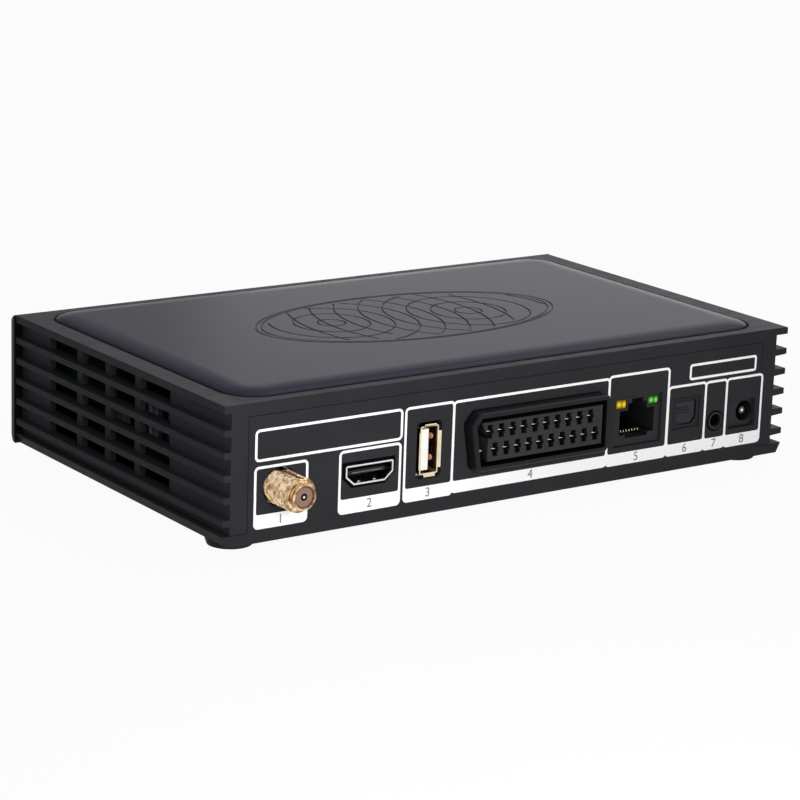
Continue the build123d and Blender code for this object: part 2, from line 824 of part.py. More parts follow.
def switch_cluster():
    """Three tactile switches on the front board, one behind each button."""
    switches = []
    base = bezel_thickness + front_board_gap
    for x in button_places.values():
        body = Pos(x, button_z) * Rectangle(switch_body, switch_body)
        body = from_front(body, base - switch_body_height, switch_body_height)
        plunger = Pos(x, button_z) * Rectangle(switch_plunger, switch_plunger)
        plunger_start = base - switch_body_height - switch_plunger_height
        body += from_front(plunger, plunger_start, switch_plunger_height + switch_root)
        switches.append(body)
    return Compound(switches)


def front_board():
    """Upright circuit board behind the bezel."""
    z_low = edge_z + front_board_low
    z_high = edge_z + front_board_high
    half = half_width - front_board_from_side
    return block(-half, half, front_board_front_y, front_board_back_y, z_low, z_high)


def display_module():
    """Four-digit display block on the front board."""
    behind_window = window_thickness + display_gap
    face = Pos(display_x, window_z) * Rectangle(display_width, display_tall)
    return from_front(face, bezel_thickness + behind_window, front_board_gap - behind_window)


def lamp_rod(x, z, radius):
    """A small round lamp or receiver that stands on the front board and faces the window."""
    length = radius + lamp_base
    return from_front(Pos(x, z) * Circle(radius), bezel_thickness + front_board_gap - length, length)


def infrared_receiver():
    """Remote control receiver with a rounded front."""
    back = Pos(receiver_x, window_z) * Rectangle(receiver_width, receiver_tall)
    back = from_front(back, bezel_thickness + front_board_gap - receiver_base, receiver_base)
    return back + lamp_rod(receiver_x, window_z, receiver_radius)


def status_lamp():
    """Small round lamp beside the display."""
    return lamp_rod(status_lamp_x, window_z, status_lamp_radius)


# ---------------------------------------------------------------- boards and fasteners
def main_board():
    """Main circuit board with clearance round the case bosses and holes for its own screws."""
    board = block(-board_half_width, board_half_width, board_front_y, board_rear_y,
                  board_z - board_thickness, board_z)
    low = board_z - board_thickness - 1
    for x, y in case_screw_points():
        boss_half = case_screw_radius + case_boss_wall
        board -= stake(boss_half + board_hole_clearance, x, y, low, board_z + 1)
    for x, y in board_screw_points():
        board -= pillar(board_screw_radius + clearance, x, y, low, board_z + 1)
    return board


def screw(radius, head_radius, head_height, length):
    """Cheese-head screw with its head above and its shank below the seat at height zero."""
    head = Pos(0, 0, head_height / 2) * Cylinder(head_radius, head_height)
    return head + Pos(0, 0, -length / 2) * Cylinder(radius, length)


def case_screws():
    """Two screws driven upwards through the lower shell into the cover's bosses."""
    shape = screw(case_screw_radius, case_screw_head_radius, case_screw_head_height, case_screw_length)
    seat = edge_z + screw_seat_height
    return Compound([Pos(x, y, seat) * Rot(180, 0, 0) * shape for x, y in case_screw_points()])


def board_screws():
    """Two screws that hold the main board down on its standoffs."""
    shape = screw(board_screw_radius, board_screw_head_radius, board_screw_head_height,
                  board_screw_length)
    return Compound([Pos(x, y, board_z) * shape for x, y in board_screw_points()])


def link_header():
    """Pin header that joins the main board to the front board."""
    half = link_header_width / 2
    header = block(-half, half, front_board_back_y, board_front_y + link_header_overlap, board_z,
                   board_z + link_header_tall)
    return chamfer(header.edges().filter_by(Axis.X).group_by(Axis.Z)[-1], link_header_edge)


# ---------------------------------------------------------------- coaxial socket
def tuner_can():
    """Folded sheet-metal screening can round the tuner, open underneath."""
    y_high = rear_y - rear_panel_thickness - clearance
    low = coax_x - tuner_width / 2
    high = coax_x + tuner_width / 2
    can = block(low, high, y_high - tuner_depth, y_high, board_z, board_z + tuner_height)
    can = chamfer(can.edges().group_by(Axis.Z)[-1], tuner_edge)
    sheet = tuner_sheet
    can -= block(low + sheet, high - sheet, y_high - tuner_depth + sheet, y_high - sheet,
                 board_z - 1, board_z + tuner_height - sheet)
    return can


coax_z = board_z + coax_height
coax_base = rear_panel_thickness + clearance


def coax_barrel():
    """Outer body with a flat along the top, a plain nose and a bore for the insulator."""
    reach = coax_thread_reach
    body = rod(coax_thread_radius, coax_x, coax_z, -reach, reach - coax_thread_start)
    body = chamfer(body.edges().sort_by(Axis.Y)[-1], coax_chamfer)
    side = coax_thread_radius + 1
    body -= block(coax_x - side, coax_x + side, rear_y - coax_base - 1, rear_y + reach + 1,
                  coax_z + coax_flat_height, coax_z + side)
    nose = rod(coax_nose_radius, coax_x, coax_z, -coax_reach, coax_reach - reach + 1)
    base = rod(coax_base_radius, coax_x, coax_z, -coax_thread_start, coax_thread_start + coax_base)
    body += [base, nose]
    return body - rod(coax_bore_radius, coax_x, coax_z, -coax_reach - 1, coax_reach + coax_base + 2)


def coax_insulator():
    """Plastic bead inside the barrel, with the hole for the cable's inner conductor."""
    recess_depth_in_nose = coax_bead_recess
    bead = rod(coax_bore_radius, coax_x, coax_z, recess_depth_in_nose - coax_reach,
               coax_reach + coax_base - recess_depth_in_nose)
    return bead - rod(coax_contact_radius, coax_x, coax_z, -coax_reach, coax_reach + coax_base + 1)


def coax_contact():
    """Sprung tube that grips the cable's inner conductor."""
    tube = rod(coax_contact_radius, coax_x, coax_z, coax_contact_recess - coax_reach,
               coax_reach + coax_base - coax_contact_recess)
    return tube - rod(coax_contact_bore, coax_x, coax_z, -coax_reach, coax_reach)


# ---------------------------------------------------------------- video socket
def video_shell():
    """Folded metal shell of the video socket."""
    shell = from_rear(video_outline(), -video_proud, video_depth + video_proud)
    return shell - from_rear(video_outline(-video_sheet), -video_proud - 1, video_depth + video_proud + 2)


def video_insulator():
    """Plastic body behind and under the shell, with the contact tongue inside it."""
    inside = video_sheet + tight_clearance
    body = from_rear(video_outline(-inside), video_depth - video_block_length, video_block_length)
    z = board_z + video_height
    tongue_z = z + video_tongue_rise
    half = video_tongue_width / 2
    body += block(video_x - half, video_x + half, rear_y - video_depth, rear_y - video_tongue_recess,
                  tongue_z - video_tongue_thickness / 2, tongue_z + video_tongue_thickness / 2)
    back = video_width / 2 - video_heel_margin
    back_y = rear_y - video_depth
    body += block(video_x - back, video_x + back, back_y - video_heel, back_y, board_z,
                  z + video_tall / 2 - video_heel_margin)
    foot = video_foot_width / 2
    body += block(video_x - foot, video_x + foot, back_y - video_heel, rear_y - video_leg_recess,
                  board_z, z - video_tall / 2 - tight_clearance)
    return body


# ---------------------------------------------------------------- data socket
data_z = board_z + data_height


def data_shell():
    """Folded metal shell of the upright data socket, with four lips flared out at its mouth."""
    outline = plain_outline(data_x, data_z, data_width, data_tall, 0.5)
    hole = Pos(data_x, data_z) * Rectangle(data_width - 2 * data_sheet, data_tall - 2 * data_sheet)
    shell = from_rear(outline, 0, data_depth) - from_rear(hole, -1, data_depth + 2)
    lip_x = data_width / 2 - data_sheet
    lip_z = data_tall / 2 - data_sheet
    flare = data_flare
    for side in (-1, 1):
        lip = make_face(Polyline((side * lip_x, 0), (side * (lip_x + data_sheet), 0),
                                 (side * (lip_x + data_sheet + flare), data_proud),
                                 (side * (lip_x + flare), data_proud), close=True))
        tall = data_tall - 2 * data_lip_corner
        shell += Pos(data_x, rear_y, data_z) * extrude(lip, amount=tall / 2, both=True)
        lip = make_face(Polyline((0, side * lip_z), (0, side * (lip_z + data_sheet)),
                                 (data_proud, side * (lip_z + data_sheet + flare)),
                                 (data_proud, side * (lip_z + flare)), close=True))
        wide = data_width - 2 * data_lip_end
        shell += Pos(data_x, rear_y, data_z) * extrude(Plane.YZ * lip, amount=wide / 2, both=True)
    return shell


def data_insulator():
    """White plastic of the data socket: rear block, contact tongue and the foot on the board."""
    inside = data_sheet + tight_clearance
    half_x = data_width / 2 - inside
    half_z = data_tall / 2 - inside
    y_back = rear_y - data_depth
    body = block(data_x - half_x, data_x + half_x, y_back, y_back + data_block_length,
                 data_z - half_z, data_z + half_z)
    tongue_high = data_x + half_x - data_tongue_gap
    body += block(tongue_high - data_tongue_thickness, tongue_high, y_back, rear_y - data_tongue_recess,
                  data_z - data_tongue_tall / 2, data_z + data_tongue_tall / 2)
    half = data_width / 2
    body += block(data_x - half, data_x + half, y_back - data_heel, y_back, board_z, data_z + half_z)
    body += block(data_x - half, data_x + half, y_back - data_heel, rear_y - data_leg_recess, board_z,
                  data_z - data_tall / 2 - tight_clearance)
    return body


# ---------------------------------------------------------------- television socket
tv_z = board_z + tv_height
tv_first_x = tv_x + tv_row_offset + (tv_contacts_per_row - 1) / 2 * tv_contact_pitch
tv_top_row_z = tv_z + tv_top_row_rise


def tv_contact_points():
    """X and Z of the twenty contacts: an upper row, and a lower row half a pitch along."""
    upper = [(tv_first_x - n * tv_contact_pitch, tv_top_row_z) for n in range(tv_contacts_per_row)]
    lower = [(x - tv_contact_pitch / 2, z - tv_row_spacing) for x, z in upper]
    return upper + lower


def tv_housing():
    """Collar of the television socket and its closed body behind the rear panel."""
    body_start = rear_panel_thickness + clearance
    collar = from_rear(tv_outline(), -tv_collar_reach, tv_collar_reach + body_start)
    collar = chamfer(collar.faces().sort_by(Axis.Y)[-1].outer_wire().edges(), tv_rim_edge)
    half = tv_body_width / 2
    body = block(tv_x - half, tv_x + half, rear_y - body_start - tv_body_depth, rear_y - body_start,
                 board_z, tv_z + tv_tall / 2 + tv_flange)
    body = chamfer(body.edges().filter_by(Axis.Y).group_by(Axis.Z)[-1], tv_flange / 2)
    housing = collar + body
    slot = tv_outline(tv_collar_wall)
    return housing - from_rear(slot, -tv_collar_reach - 1, tv_collar_reach + 1 + tv_slot_depth)


def tv_insert_outline():
    """Face of the contact block inside the collar, with its antenna side stepped."""
    margin = tv_collar_wall + tv_slot
    half = tv_width / 2
    tall = tv_tall / 2 - margin
    left = -half + margin
    right = half - tv_side_lean - margin - tv_key_margin
    points = [(left, -tall), (right, -tall), (right, tall - tv_key_drop), (right + tv_key_run, tall),
              (left, tall)]
    return Pos(tv_x, tv_z) * make_face(Polyline(*points, close=True))


def tv_hole(x, z, depth_from_rear, length):
    """Cross-shaped opening for one blade contact."""
    upright = Rectangle(tv_hole_width, tv_hole_tall)
    bar = Rectangle(tv_cross_width, tv_cross_tall)
    return from_rear(Pos(x, z) * (upright + bar), depth_from_rear, length)


def tv_insert():
    """Contact block of the television socket, with twenty cross-shaped openings."""
    start = tv_insert_recess - tv_collar_reach
    insert = from_rear(tv_insert_outline(), start, tv_slot_depth - start)
    insert -= [tv_hole(x, z, start - 1, tv_hole_depth + 1) for x, z in tv_contact_points()]
    return insert


def tv_contacts():
    """Twenty gilt blades in the openings and the shield blade beside the block."""
    start = tv_insert_recess - tv_collar_reach + tv_contact_recess
    length = tv_hole_depth - tv_contact_recess
    blade_width = tv_cross_width - 2 * tight_clearance
    blades = []
    for x, z in tv_contact_points():
        blades.append(from_rear(Pos(x, z) * Rectangle(blade_width, tv_blade_thickness), start, length))
    shield = Pos(tv_first_x + tv_shield_from_contact, tv_top_row_z - tv_row_spacing - tv_shield_drop)
    shield *= Rectangle(tv_shield_width, tv_shield_tall)
    blades.append(from_rear(shield, start, tv_slot_depth - start))
    return Compound(blades)


# ---------------------------------------------------------------- network socket
def lan_cavity(depth):
    """Stepped opening for the network plug, with its latch slot at the top."""
    low = board_z + lan_cavity_low
    steps = [(lan_foot_width, low - lan_foot_tall, low + 1),
             (lan_cavity_width, low, low + lan_cavity_tall),
             (lan_step_width, low + lan_cavity_tall - 1, low + lan_cavity_tall + lan_step_tall),
             (lan_latch_width, low + lan_cavity_tall,
              low + lan_cavity_tall + lan_step_tall + lan_latch_tall)]
    start = rear_y - lan_face_depth
    return [block(lan_x - width / 2, lan_x + width / 2, start - depth, start + 1, z_low, z_high)
            for width, z_low, z_high in steps]


def lan_lamp_box(side, grow=0.0):
    """Room for one of the network socket's two lamps."""
    x = lan_x + side * (lan_width / 2 - lan_lamp_from_side - lan_lamp_width / 2)
    z = board_z + lan_tall - lan_lamp_from_top - lan_lamp_tall / 2
    start = rear_y - lan_face_depth
    half_x = lan_lamp_width / 2 + grow
    half_z = lan_lamp_tall / 2 + grow
    return block(x - half_x, x + half_x, start - lan_lamp_depth - grow, start + 0.1, z - half_z, z + half_z)


def lan_housing():
    """Plastic body of the network socket."""
    start = rear_y - lan_face_depth
    half = lan_width / 2
    body = block(lan_x - half, lan_x + half, start - lan_depth, start, board_z, board_z + lan_tall)
    body -= lan_cavity(lan_cavity_depth)
    body -= [lan_lamp_box(side, tight_clearance / 2) for side in (-1, 1)]
    return body


def lan_lamp(side):
    """Clear lamp in one upper corner of the network socket's face."""
    lamp = lan_lamp_box(side) - block(lan_x - lan_width, lan_x + lan_width, rear_y - lan_face_depth,
                                      rear_y + 1, board_z, board_z + 2 * lan_tall)
    return chamfer(lamp.faces().sort_by(Axis.Y)[-1].edges(), lan_lamp_edge)


def lan_contacts():
    """Eight gilt wires that slope up from the floor of the network socket."""
    wires = []
    y_low = rear_y - lan_face_depth - lan_cavity_depth
    floor = board_z + lan_cavity_low
    for number in range(lan_contact_count):
        x = lan_x + (number - (lan_contact_count - 1) / 2) * lan_contact_pitch
        start = (x, y_low + lan_contact_run, floor - lan_foot_tall + lan_contact_size / 2 + tight_clearance)
        end = (x, y_low + tight_clearance, floor + lan_contact_rise)
        path = Line(start, end)
        wire = Rectangle(lan_contact_size, lan_contact_size)
        wires.append(sweep(Plane(origin=start, x_dir=(1, 0, 0), z_dir=path % 0) * wire, path=path))
    return Compound(wires)


# ---------------------------------------------------------------- optical socket
optical_z = board_z + optical_height
optical_lens_z = optical_z - optical_lens_drop
optical_lens_total = optical_lens_length + optical_lens_root
hinge_y = rear_y - shutter_recess - shutter_thickness / 2
hinge_z = optical_z + optical_mouth_tall / 2 - shutter_clearance - shutter_thickness / 2


def optical_lens_stub():
    """Plain bar that the light guide is made from, half of it set in the socket's back wall."""
    start = optical_cavity_depth - optical_lens_length
    return rod(optical_lens_radius, optical_x, optical_lens_z, start, optical_lens_total)


def optical_housing():
    """Plastic body of the optical socket with the room in which its shutter swings up."""
    body_start = rear_panel_thickness + clearance
    half = optical_body_width / 2
    body = block(optical_x - half, optical_x + half, rear_y - optical_depth, rear_y - body_start,
                 board_z, board_z + optical_body_tall)
    nose = Pos(optical_x, optical_z) * Rectangle(optical_width, optical_tall)
    body += from_rear(nose, optical_recess, body_start)
    mouth_top = optical_z + optical_mouth_tall / 2
    body -= from_rear(optical_mouth(), -1, 1 + shutter_recess + shutter_thickness + 0.3)
    room = optical_mouth_width / 2
    body -= block(optical_x - room, optical_x + room, rear_y - optical_cavity_depth,
                  rear_y - shutter_recess - shutter_thickness, optical_z - optical_mouth_tall / 2, mouth_top)
    body -= block(optical_x - room, optical_x + room, rear_y - optical_cavity_depth,
                  rear_y - shutter_recess + 0.05, mouth_top - shutter_thickness - 1.2, mouth_top)
    bore = shutter_pin_radius + shutter_pin_clearance
    reach = optical_mouth_width / 2 + shutter_pin_length + shutter_end_gap
    pin_bore = Pos(optical_x, hinge_y, hinge_z) * Rot(0, 90, 0) * Cylinder(bore, 2 * reach)
    return body - pin_bore - optical_lens_stub()


def optical_lens():
    """Light guide at the back of the optical socket."""
    return optical_lens_stub()


def optical_shutter():
    """Flap that closes the optical socket, hung on two short pins at its upper edge."""
    flap = from_rear(optical_mouth(shutter_clearance), shutter_recess, shutter_thickness)
    upper = flap.edges().filter_by(Axis.X).group_by(Axis.Z)[-1]
    flap = chamfer(upper, shutter_thickness * 0.3)
    half = optical_mouth_width / 2 + shutter_pin_length
    pin = Pos(optical_x, hinge_y, hinge_z) * Rot(0, 90, 0) * Cylinder(shutter_pin_radius, 2 * half)
    return flap + pin


# ---------------------------------------------------------------- round jacks
def serial_jack():
    """Small round jack with a ring that fills the panel's hole."""
    body_start = rear_panel_thickness + clearance
    z = board_z + jack_height
    half = jack_body_width / 2
    body = block(jack_x - half, jack_x + half, rear_y - body_start - jack_body_depth,
                 rear_y - body_start, board_z, board_z + jack_body_tall)
    body += rod(jack_ring_radius, jack_x, z, jack_recess, body_start)
    return body - rod(jack_bore_radius, jack_x, z, -1, 1 + jack_bore_depth)


def power_inlet():
    """Body of the power inlet, recessed in its rectangular opening, with a round bore."""
    body_start = rear_panel_thickness + clearance
    z = board_z + power_height
    half = power_face_width / 2
    body = block(power_face_x - half, power_face_x + half, rear_y - power_body_depth,
                 rear_y - power_recess, board_z, board_z + power_face_tall)
    half = power_body_width / 2
    body += block(power_face_x - half, power_face_x + half, rear_y - power_body_depth,
                  rear_y - body_start, board_z, board_z + power_face_tall + power_crown)
    bore = rod(power_bore_radius, power_x, z, 0, power_recess + power_bore_depth)
    return body - bore


def power_pin():
    """Centre pin of the power inlet."""
    z = board_z + power_height
    return rod(power_pin_radius, power_x, z, power_recess + power_pin_recess,
               power_bore_depth - power_pin_recess)


# ---------------------------------------------------------------- board components
def processor():
    """Main chip under the heatsink."""
    y = rear_y - processor_from_rear
    half = processor_size / 2
    return block(processor_x - half, processor_x + half, y - half, y + half, board_z,
                 board_z + processor_height)


def heatsink():
    """Finned cooling block on the processor."""
    y = rear_y - processor_from_rear
    half = heatsink_size / 2
    z = board_z + processor_height
    sink = block(processor_x - half, processor_x + half, y - half, y + half, z, z + heatsink_base)
    pitch = (heatsink_size - heatsink_fin_thickness) / (heatsink_fin_count - 1)
    for number in range(heatsink_fin_count):
        x = processor_x - half + number * pitch
        sink += block(x, x + heatsink_fin_thickness, y - half, y + half, z, z + heatsink_base
                      + heatsink_fin_height)
    return sink


def capacitors():
    """Upright electrolytic capacitors."""
    cans = []
    for side, inward, depth, radius, tall in capacitor_places:
        cans.append(pillar(radius, side * (board_half_width - inward), rear_y - depth, board_z,
                           board_z + tall))
    return Compound(cans)


def coils():
    """Square power coils."""
    parts = []
    for side, inward, depth, size in coil_places:
        body = Pos(side * (board_half_width - inward), rear_y - depth, board_z + coil_height / 2)
        body *= Box(size, size, coil_height)
        parts.append(chamfer(body.edges().filter_by(Axis.Z), coil_corner))
    return Compound(parts)


def memory_chips():
    """Two memory chips beside the processor."""
    chips = []
    for x, depth in memory_places:
        y = rear_y - depth
        chips.append(block(x - memory_width / 2, x + memory_width / 2, y - memory_depth / 2,
                           y + memory_depth / 2, board_z, board_z + memory_height))
    return Compound(chips)


# ---------------------------------------------------------------- all pieces
pieces = {
    "bottom_shell": bottom_shell(),
    "top_cover": top_cover(),
    "lid_panel": lid_panel(),
    "front_bezel": front_bezel(),
    "display_window": display_window(),
    "front_board": front_board(),
    "display_module": display_module(),
    "infrared_receiver": infrared_receiver(),
    "status_lamp": status_lamp(),
    "button_switches": switch_cluster(),
    "main_board": main_board(),
    "link_header": link_header(),
    "case_screws": case_screws(),
    "board_screws": board_screws(),
    "tuner_can": tuner_can(),
    "coax_barrel": coax_barrel(),
    "coax_insulator": coax_insulator(),
    "coax_contact": coax_contact(),
    "video_shell": video_shell(),
    "video_insulator": video_insulator(),
    "data_shell": data_shell(),
    "data_insulator": data_insulator(),
    "tv_housing": tv_housing(),
    "tv_insert": tv_insert(),
    "tv_contacts": tv_contacts(),
    "lan_housing": lan_housing(),
    "lan_lamp_yellow": lan_lamp(1),
    "lan_lamp_green": lan_lamp(-1),
    "lan_contacts": lan_contacts(),
    "optical_housing": optical_housing(),
    "optical_lens": optical_lens(),
    "optical_shutter": optical_shutter(),
    "serial_jack": serial_jack(),
    "power_inlet": power_inlet(),
    "power_pin": power_pin(),
    "processor": processor(),
    "heatsink": heatsink(),
    "capacitors": capacitors(),
    "coils": coils(),
    "memory_chips": memory_chips(),
}
for name in button_places:
    pieces[name] = push_button(name)

os.makedirs("parts", exist_ok=True)
for name, shape in pieces.items():
    export_step(shape, f"parts/{name}.step")
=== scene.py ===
"""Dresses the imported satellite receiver.

Every CAD node gets its material. New pieces are the engraved lid panel, the printing on the rear, the
threaded coaxial barrel and small parts inside the sockets. The camera, floor and lamps come with them.
Lengths are in metres, unless a name or a comment says millimetres.
"""

import math

import bmesh
import bpy
import numpy as np
from mathutils import Matrix, Vector
from mathutils.geometry import delaunay_2d_cdt


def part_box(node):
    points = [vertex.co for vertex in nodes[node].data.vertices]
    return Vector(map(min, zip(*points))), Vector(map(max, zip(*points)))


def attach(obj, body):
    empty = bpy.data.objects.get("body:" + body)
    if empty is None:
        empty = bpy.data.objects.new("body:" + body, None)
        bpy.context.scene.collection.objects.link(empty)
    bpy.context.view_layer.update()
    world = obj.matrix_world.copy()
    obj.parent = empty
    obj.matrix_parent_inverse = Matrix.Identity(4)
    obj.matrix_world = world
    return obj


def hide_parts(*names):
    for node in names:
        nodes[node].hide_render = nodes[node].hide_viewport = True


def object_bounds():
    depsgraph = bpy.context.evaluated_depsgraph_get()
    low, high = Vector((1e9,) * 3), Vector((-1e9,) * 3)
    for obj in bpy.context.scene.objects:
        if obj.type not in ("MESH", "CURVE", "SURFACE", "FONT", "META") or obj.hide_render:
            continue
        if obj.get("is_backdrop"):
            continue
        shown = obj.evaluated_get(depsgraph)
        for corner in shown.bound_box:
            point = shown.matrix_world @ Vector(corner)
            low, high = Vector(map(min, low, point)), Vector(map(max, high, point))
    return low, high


MM = 0.001
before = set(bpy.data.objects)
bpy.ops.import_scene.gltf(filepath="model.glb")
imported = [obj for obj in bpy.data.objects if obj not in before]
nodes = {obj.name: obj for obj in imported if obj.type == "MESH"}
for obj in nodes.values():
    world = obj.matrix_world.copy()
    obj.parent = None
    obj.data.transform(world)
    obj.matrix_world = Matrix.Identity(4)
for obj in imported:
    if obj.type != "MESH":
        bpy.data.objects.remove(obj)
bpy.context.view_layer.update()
scene = bpy.context.scene
scene.view_settings.view_transform = "Standard"

# ---------------------------------------------------------------- places taken from the frame
board_above_level = 9.3 * MM          # the main board's top, above the line that heights are counted from
half_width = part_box("top_cover")[1].x
rear_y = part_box("bottom_shell")[1].y
level_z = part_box("main_board")[1].z - board_above_level


def on_panel(across, up, proud=0.0):
    """A point on the rear panel: millimetres from the antenna side, above the level line, and proud."""
    return Vector((half_width - across * MM, rear_y + proud * MM, level_z + up * MM))


def node_centre(node):
    """Centre of a CAD node's box."""
    low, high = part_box(node)
    return (low + high) / 2


def rear_end(node):
    """Centre of a CAD node's rear-facing end."""
    centre = node_centre(node)
    return Vector((centre.x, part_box(node)[1].y, centre.z))


# ---------------------------------------------------------------- camera
camera_right = Vector((-0.81799, 0.57423, 0.03395))
camera_up = Vector((-0.11992, -0.22796, 0.96626))
camera_place = on_panel(across=-359.755, up=219.778, proud=577.807)
camera_data = bpy.data.cameras.new("camera")
camera_data.sensor_width = 36.0
camera_data.lens = 126.74
camera_data.clip_start = 0.01
camera_data.clip_end = 50.0
camera = bpy.data.objects.new("camera", camera_data)
scene.collection.objects.link(camera)
camera_axes = Matrix((camera_right, camera_up, camera_right.cross(camera_up))).transposed()
camera.matrix_world = Matrix.Translation(camera_place) @ camera_axes.to_4x4()
bpy.context.scene.camera = camera


# ---------------------------------------------------------------- shader helpers
def colour(red, green, blue):
    """A colour as it shows in a picture (0 to 255), as the shader wants it."""
    def linear(value):
        value = value / 255.0
        return value / 12.92 if value <= 0.04045 else ((value + 0.055) / 1.055) ** 2.4
    return (linear(red), linear(green), linear(blue), 1.0)


def shaded(base, factor):
    """The same colour, lighter or darker."""
    return tuple(min(1.0, c * factor) for c in base[:3]) + (1.0,)


def larger_of(tree, first, second):
    """The larger of two values in a node tree."""
    made = tree.nodes.new("ShaderNodeMath")
    made.operation = "MAXIMUM"
    tree.links.new(first, made.inputs[0])
    tree.links.new(second, made.inputs[1])
    return made.outputs["Value"]


class Shader:
    """A material under construction, with one Principled shader."""

    def __init__(self, name):
        self.material = bpy.data.materials.new(name)
        self.material.use_nodes = True
        self.tree = self.material.node_tree
        self.bsdf = self.tree.nodes["Principled BSDF"]
        self.place = self.tree.nodes.new("ShaderNodeTexCoord").outputs["Object"]

    def node(self, kind, **inputs):
        """A new node with some of its inputs set."""
        made = self.tree.nodes.new(kind)
        for key, value in inputs.items():
            made.inputs[key.replace("_", " ")].default_value = value
        return made

    def link(self, out, into):
        self.tree.links.new(out, into)

    def set(self, **inputs):
        """Sets inputs of the Principled shader itself."""
        for key, value in inputs.items():
            self.bsdf.inputs[key.replace("_", " ")].default_value = value

    def noise(self, size, detail=3.0, stretch=None):
        """Noise whose blobs are about size metres wide."""
        source = self.place
        if stretch:
            mapping = self.node("ShaderNodeMapping", Scale=stretch)
            self.link(source, mapping.inputs["Vector"])
            source = mapping.outputs["Vector"]
        made = self.node("ShaderNodeTexNoise", Scale=1.0 / size, Detail=detail)
        self.link(source, made.inputs["Vector"])
        return made.outputs["Fac"]

    def spread(self, source, low, high, from_low=0.3, from_high=0.7):
        """A value stretched from one range to another."""
        made = self.node("ShaderNodeMapRange", From_Min=from_low, From_Max=from_high, To_Min=low, To_Max=high)
        self.link(source, made.inputs["Value"])
        return made.outputs["Result"]

    def mix(self, factor, first, second):
        """A colour between two others, each a fixed colour or a node's output."""
        made = self.tree.nodes.new("ShaderNodeMix")
        made.data_type = "RGBA"
        self.link(factor, made.inputs["Factor"])
        for socket_name, value in (("A", first), ("B", second)):
            socket = [s for s in made.inputs if s.name == socket_name and s.type == "RGBA"][0]
            if isinstance(value, tuple):
                socket.default_value = value
            else:
                self.link(value, socket)
        return [s for s in made.outputs if s.type == "RGBA"][0]

    def bump(self, height, depth, before=None):
        """Small relief, depth metres high, on top of the normal given as before."""
        made = self.node("ShaderNodeBump", Strength=1.0, Distance=depth)
        self.link(height, made.inputs["Height"])
        if before:
            self.link(before, made.inputs["Normal"])
        self.link(made.outputs["Normal"], self.bsdf.inputs["Normal"])


# ---------------------------------------------------------------- kinds of material
cloud_size = 14 * MM         # of the clouds in plastic's tone
patch_size = 5 * MM          # of the patches in its gloss
tarnish_size = 3 * MM        # of the clouds on metal
hollow_painted_shade = 0.2             # share of the colour that the painted shade leaves in the darkest hollows


def moulded(name, base, roughness, grain=0.35, depth=0.012, shade=0.07, specular=0.3, edge=0.2,
            uneven=0.04, cavity=0):
    """Moulded plastic: a fine spark-eroded grain, a slight cloudiness, uneven gloss and softened edges.

    Grain, depth, edge and cavity are in millimetres. Hollows narrower than cavity get painted shade, by
    ambient occlusion.
    """
    s = Shader(name)
    soft = s.node("ShaderNodeBevel", Radius=edge * MM).outputs["Normal"] if edge else None
    cloud = s.noise(cloud_size, detail=2.0)
    tone = s.mix(s.spread(cloud, 0, 1), shaded(base, 1 - shade), shaded(base, 1 + shade))
    # Painted shade: the colour darkens where ambient occlusion finds the surface closed in.
    if cavity:
        openness = s.node("ShaderNodeAmbientOcclusion", Distance=cavity * MM).outputs["AO"]
        tone = s.mix(s.spread(openness, 0, 1, from_low=0.2, from_high=0.85), shaded(base, hollow_painted_shade), tone)
    s.link(tone, s.bsdf.inputs["Base Color"])
    s.link(s.spread(s.noise(patch_size), low=roughness - uneven, high=roughness + uneven),
           s.bsdf.inputs["Roughness"])
    s.set(Specular_IOR_Level=specular)
    s.bump(s.noise(grain * MM, detail=4.0), depth * MM, soft)
    return s.material


def metal(name, base, roughness, stretch=(1, 1, 1), size=0.5, depth=0.004, shade=0.15):
    """Plated or brushed metal: tarnish clouds, and fine scratches along one direction.

    Size and depth of the scratches are in millimetres.
    """
    s = Shader(name)
    cloud = s.noise(tarnish_size, detail=4.0)
    s.link(s.mix(s.spread(cloud, 0, 1), shaded(base, 1 - shade), base), s.bsdf.inputs["Base Color"])
    s.link(s.spread(s.noise(size * MM, stretch=stretch), low=roughness * 0.7, high=roughness * 1.4),
           s.bsdf.inputs["Roughness"])
    s.set(Metallic=1.0)
    s.bump(s.noise(size * MM, stretch=stretch), depth * MM)
    return s.material


def threaded_plate():
    """Worn plating of the coaxial barrel: bright and warm on the crests, with painted shade in brown on the
    grooves, neck, bore and top flat.
    """
    tarnished, bright, shade_brown = colour(186, 134, 84), colour(252, 234, 200), colour(74, 44, 22)
    s = Shader("barrel_plate")
    blotches = s.spread(s.noise(1.3 * MM, detail=5.0), 0, 1, from_low=0.4, from_high=0.6)
    worn = s.mix(blotches, tarnished, bright)
    # Painted shade: the barrel's attribute mixes brown into the grooves, the neck, the bore and the flat
    # along the top.
    groove = s.tree.nodes.new("ShaderNodeAttribute")
    groove.attribute_name = "barrel_painted_shade"
    s.link(s.mix(groove.outputs["Fac"], worn, shade_brown), s.bsdf.inputs["Base Color"])
    s.link(s.spread(s.noise(0.7 * MM), low=0.1, high=0.32), s.bsdf.inputs["Roughness"])
    s.set(Metallic=1.0)
    s.bump(s.noise(0.9 * MM, detail=4.0), depth=0.05 * MM)
    return s.material


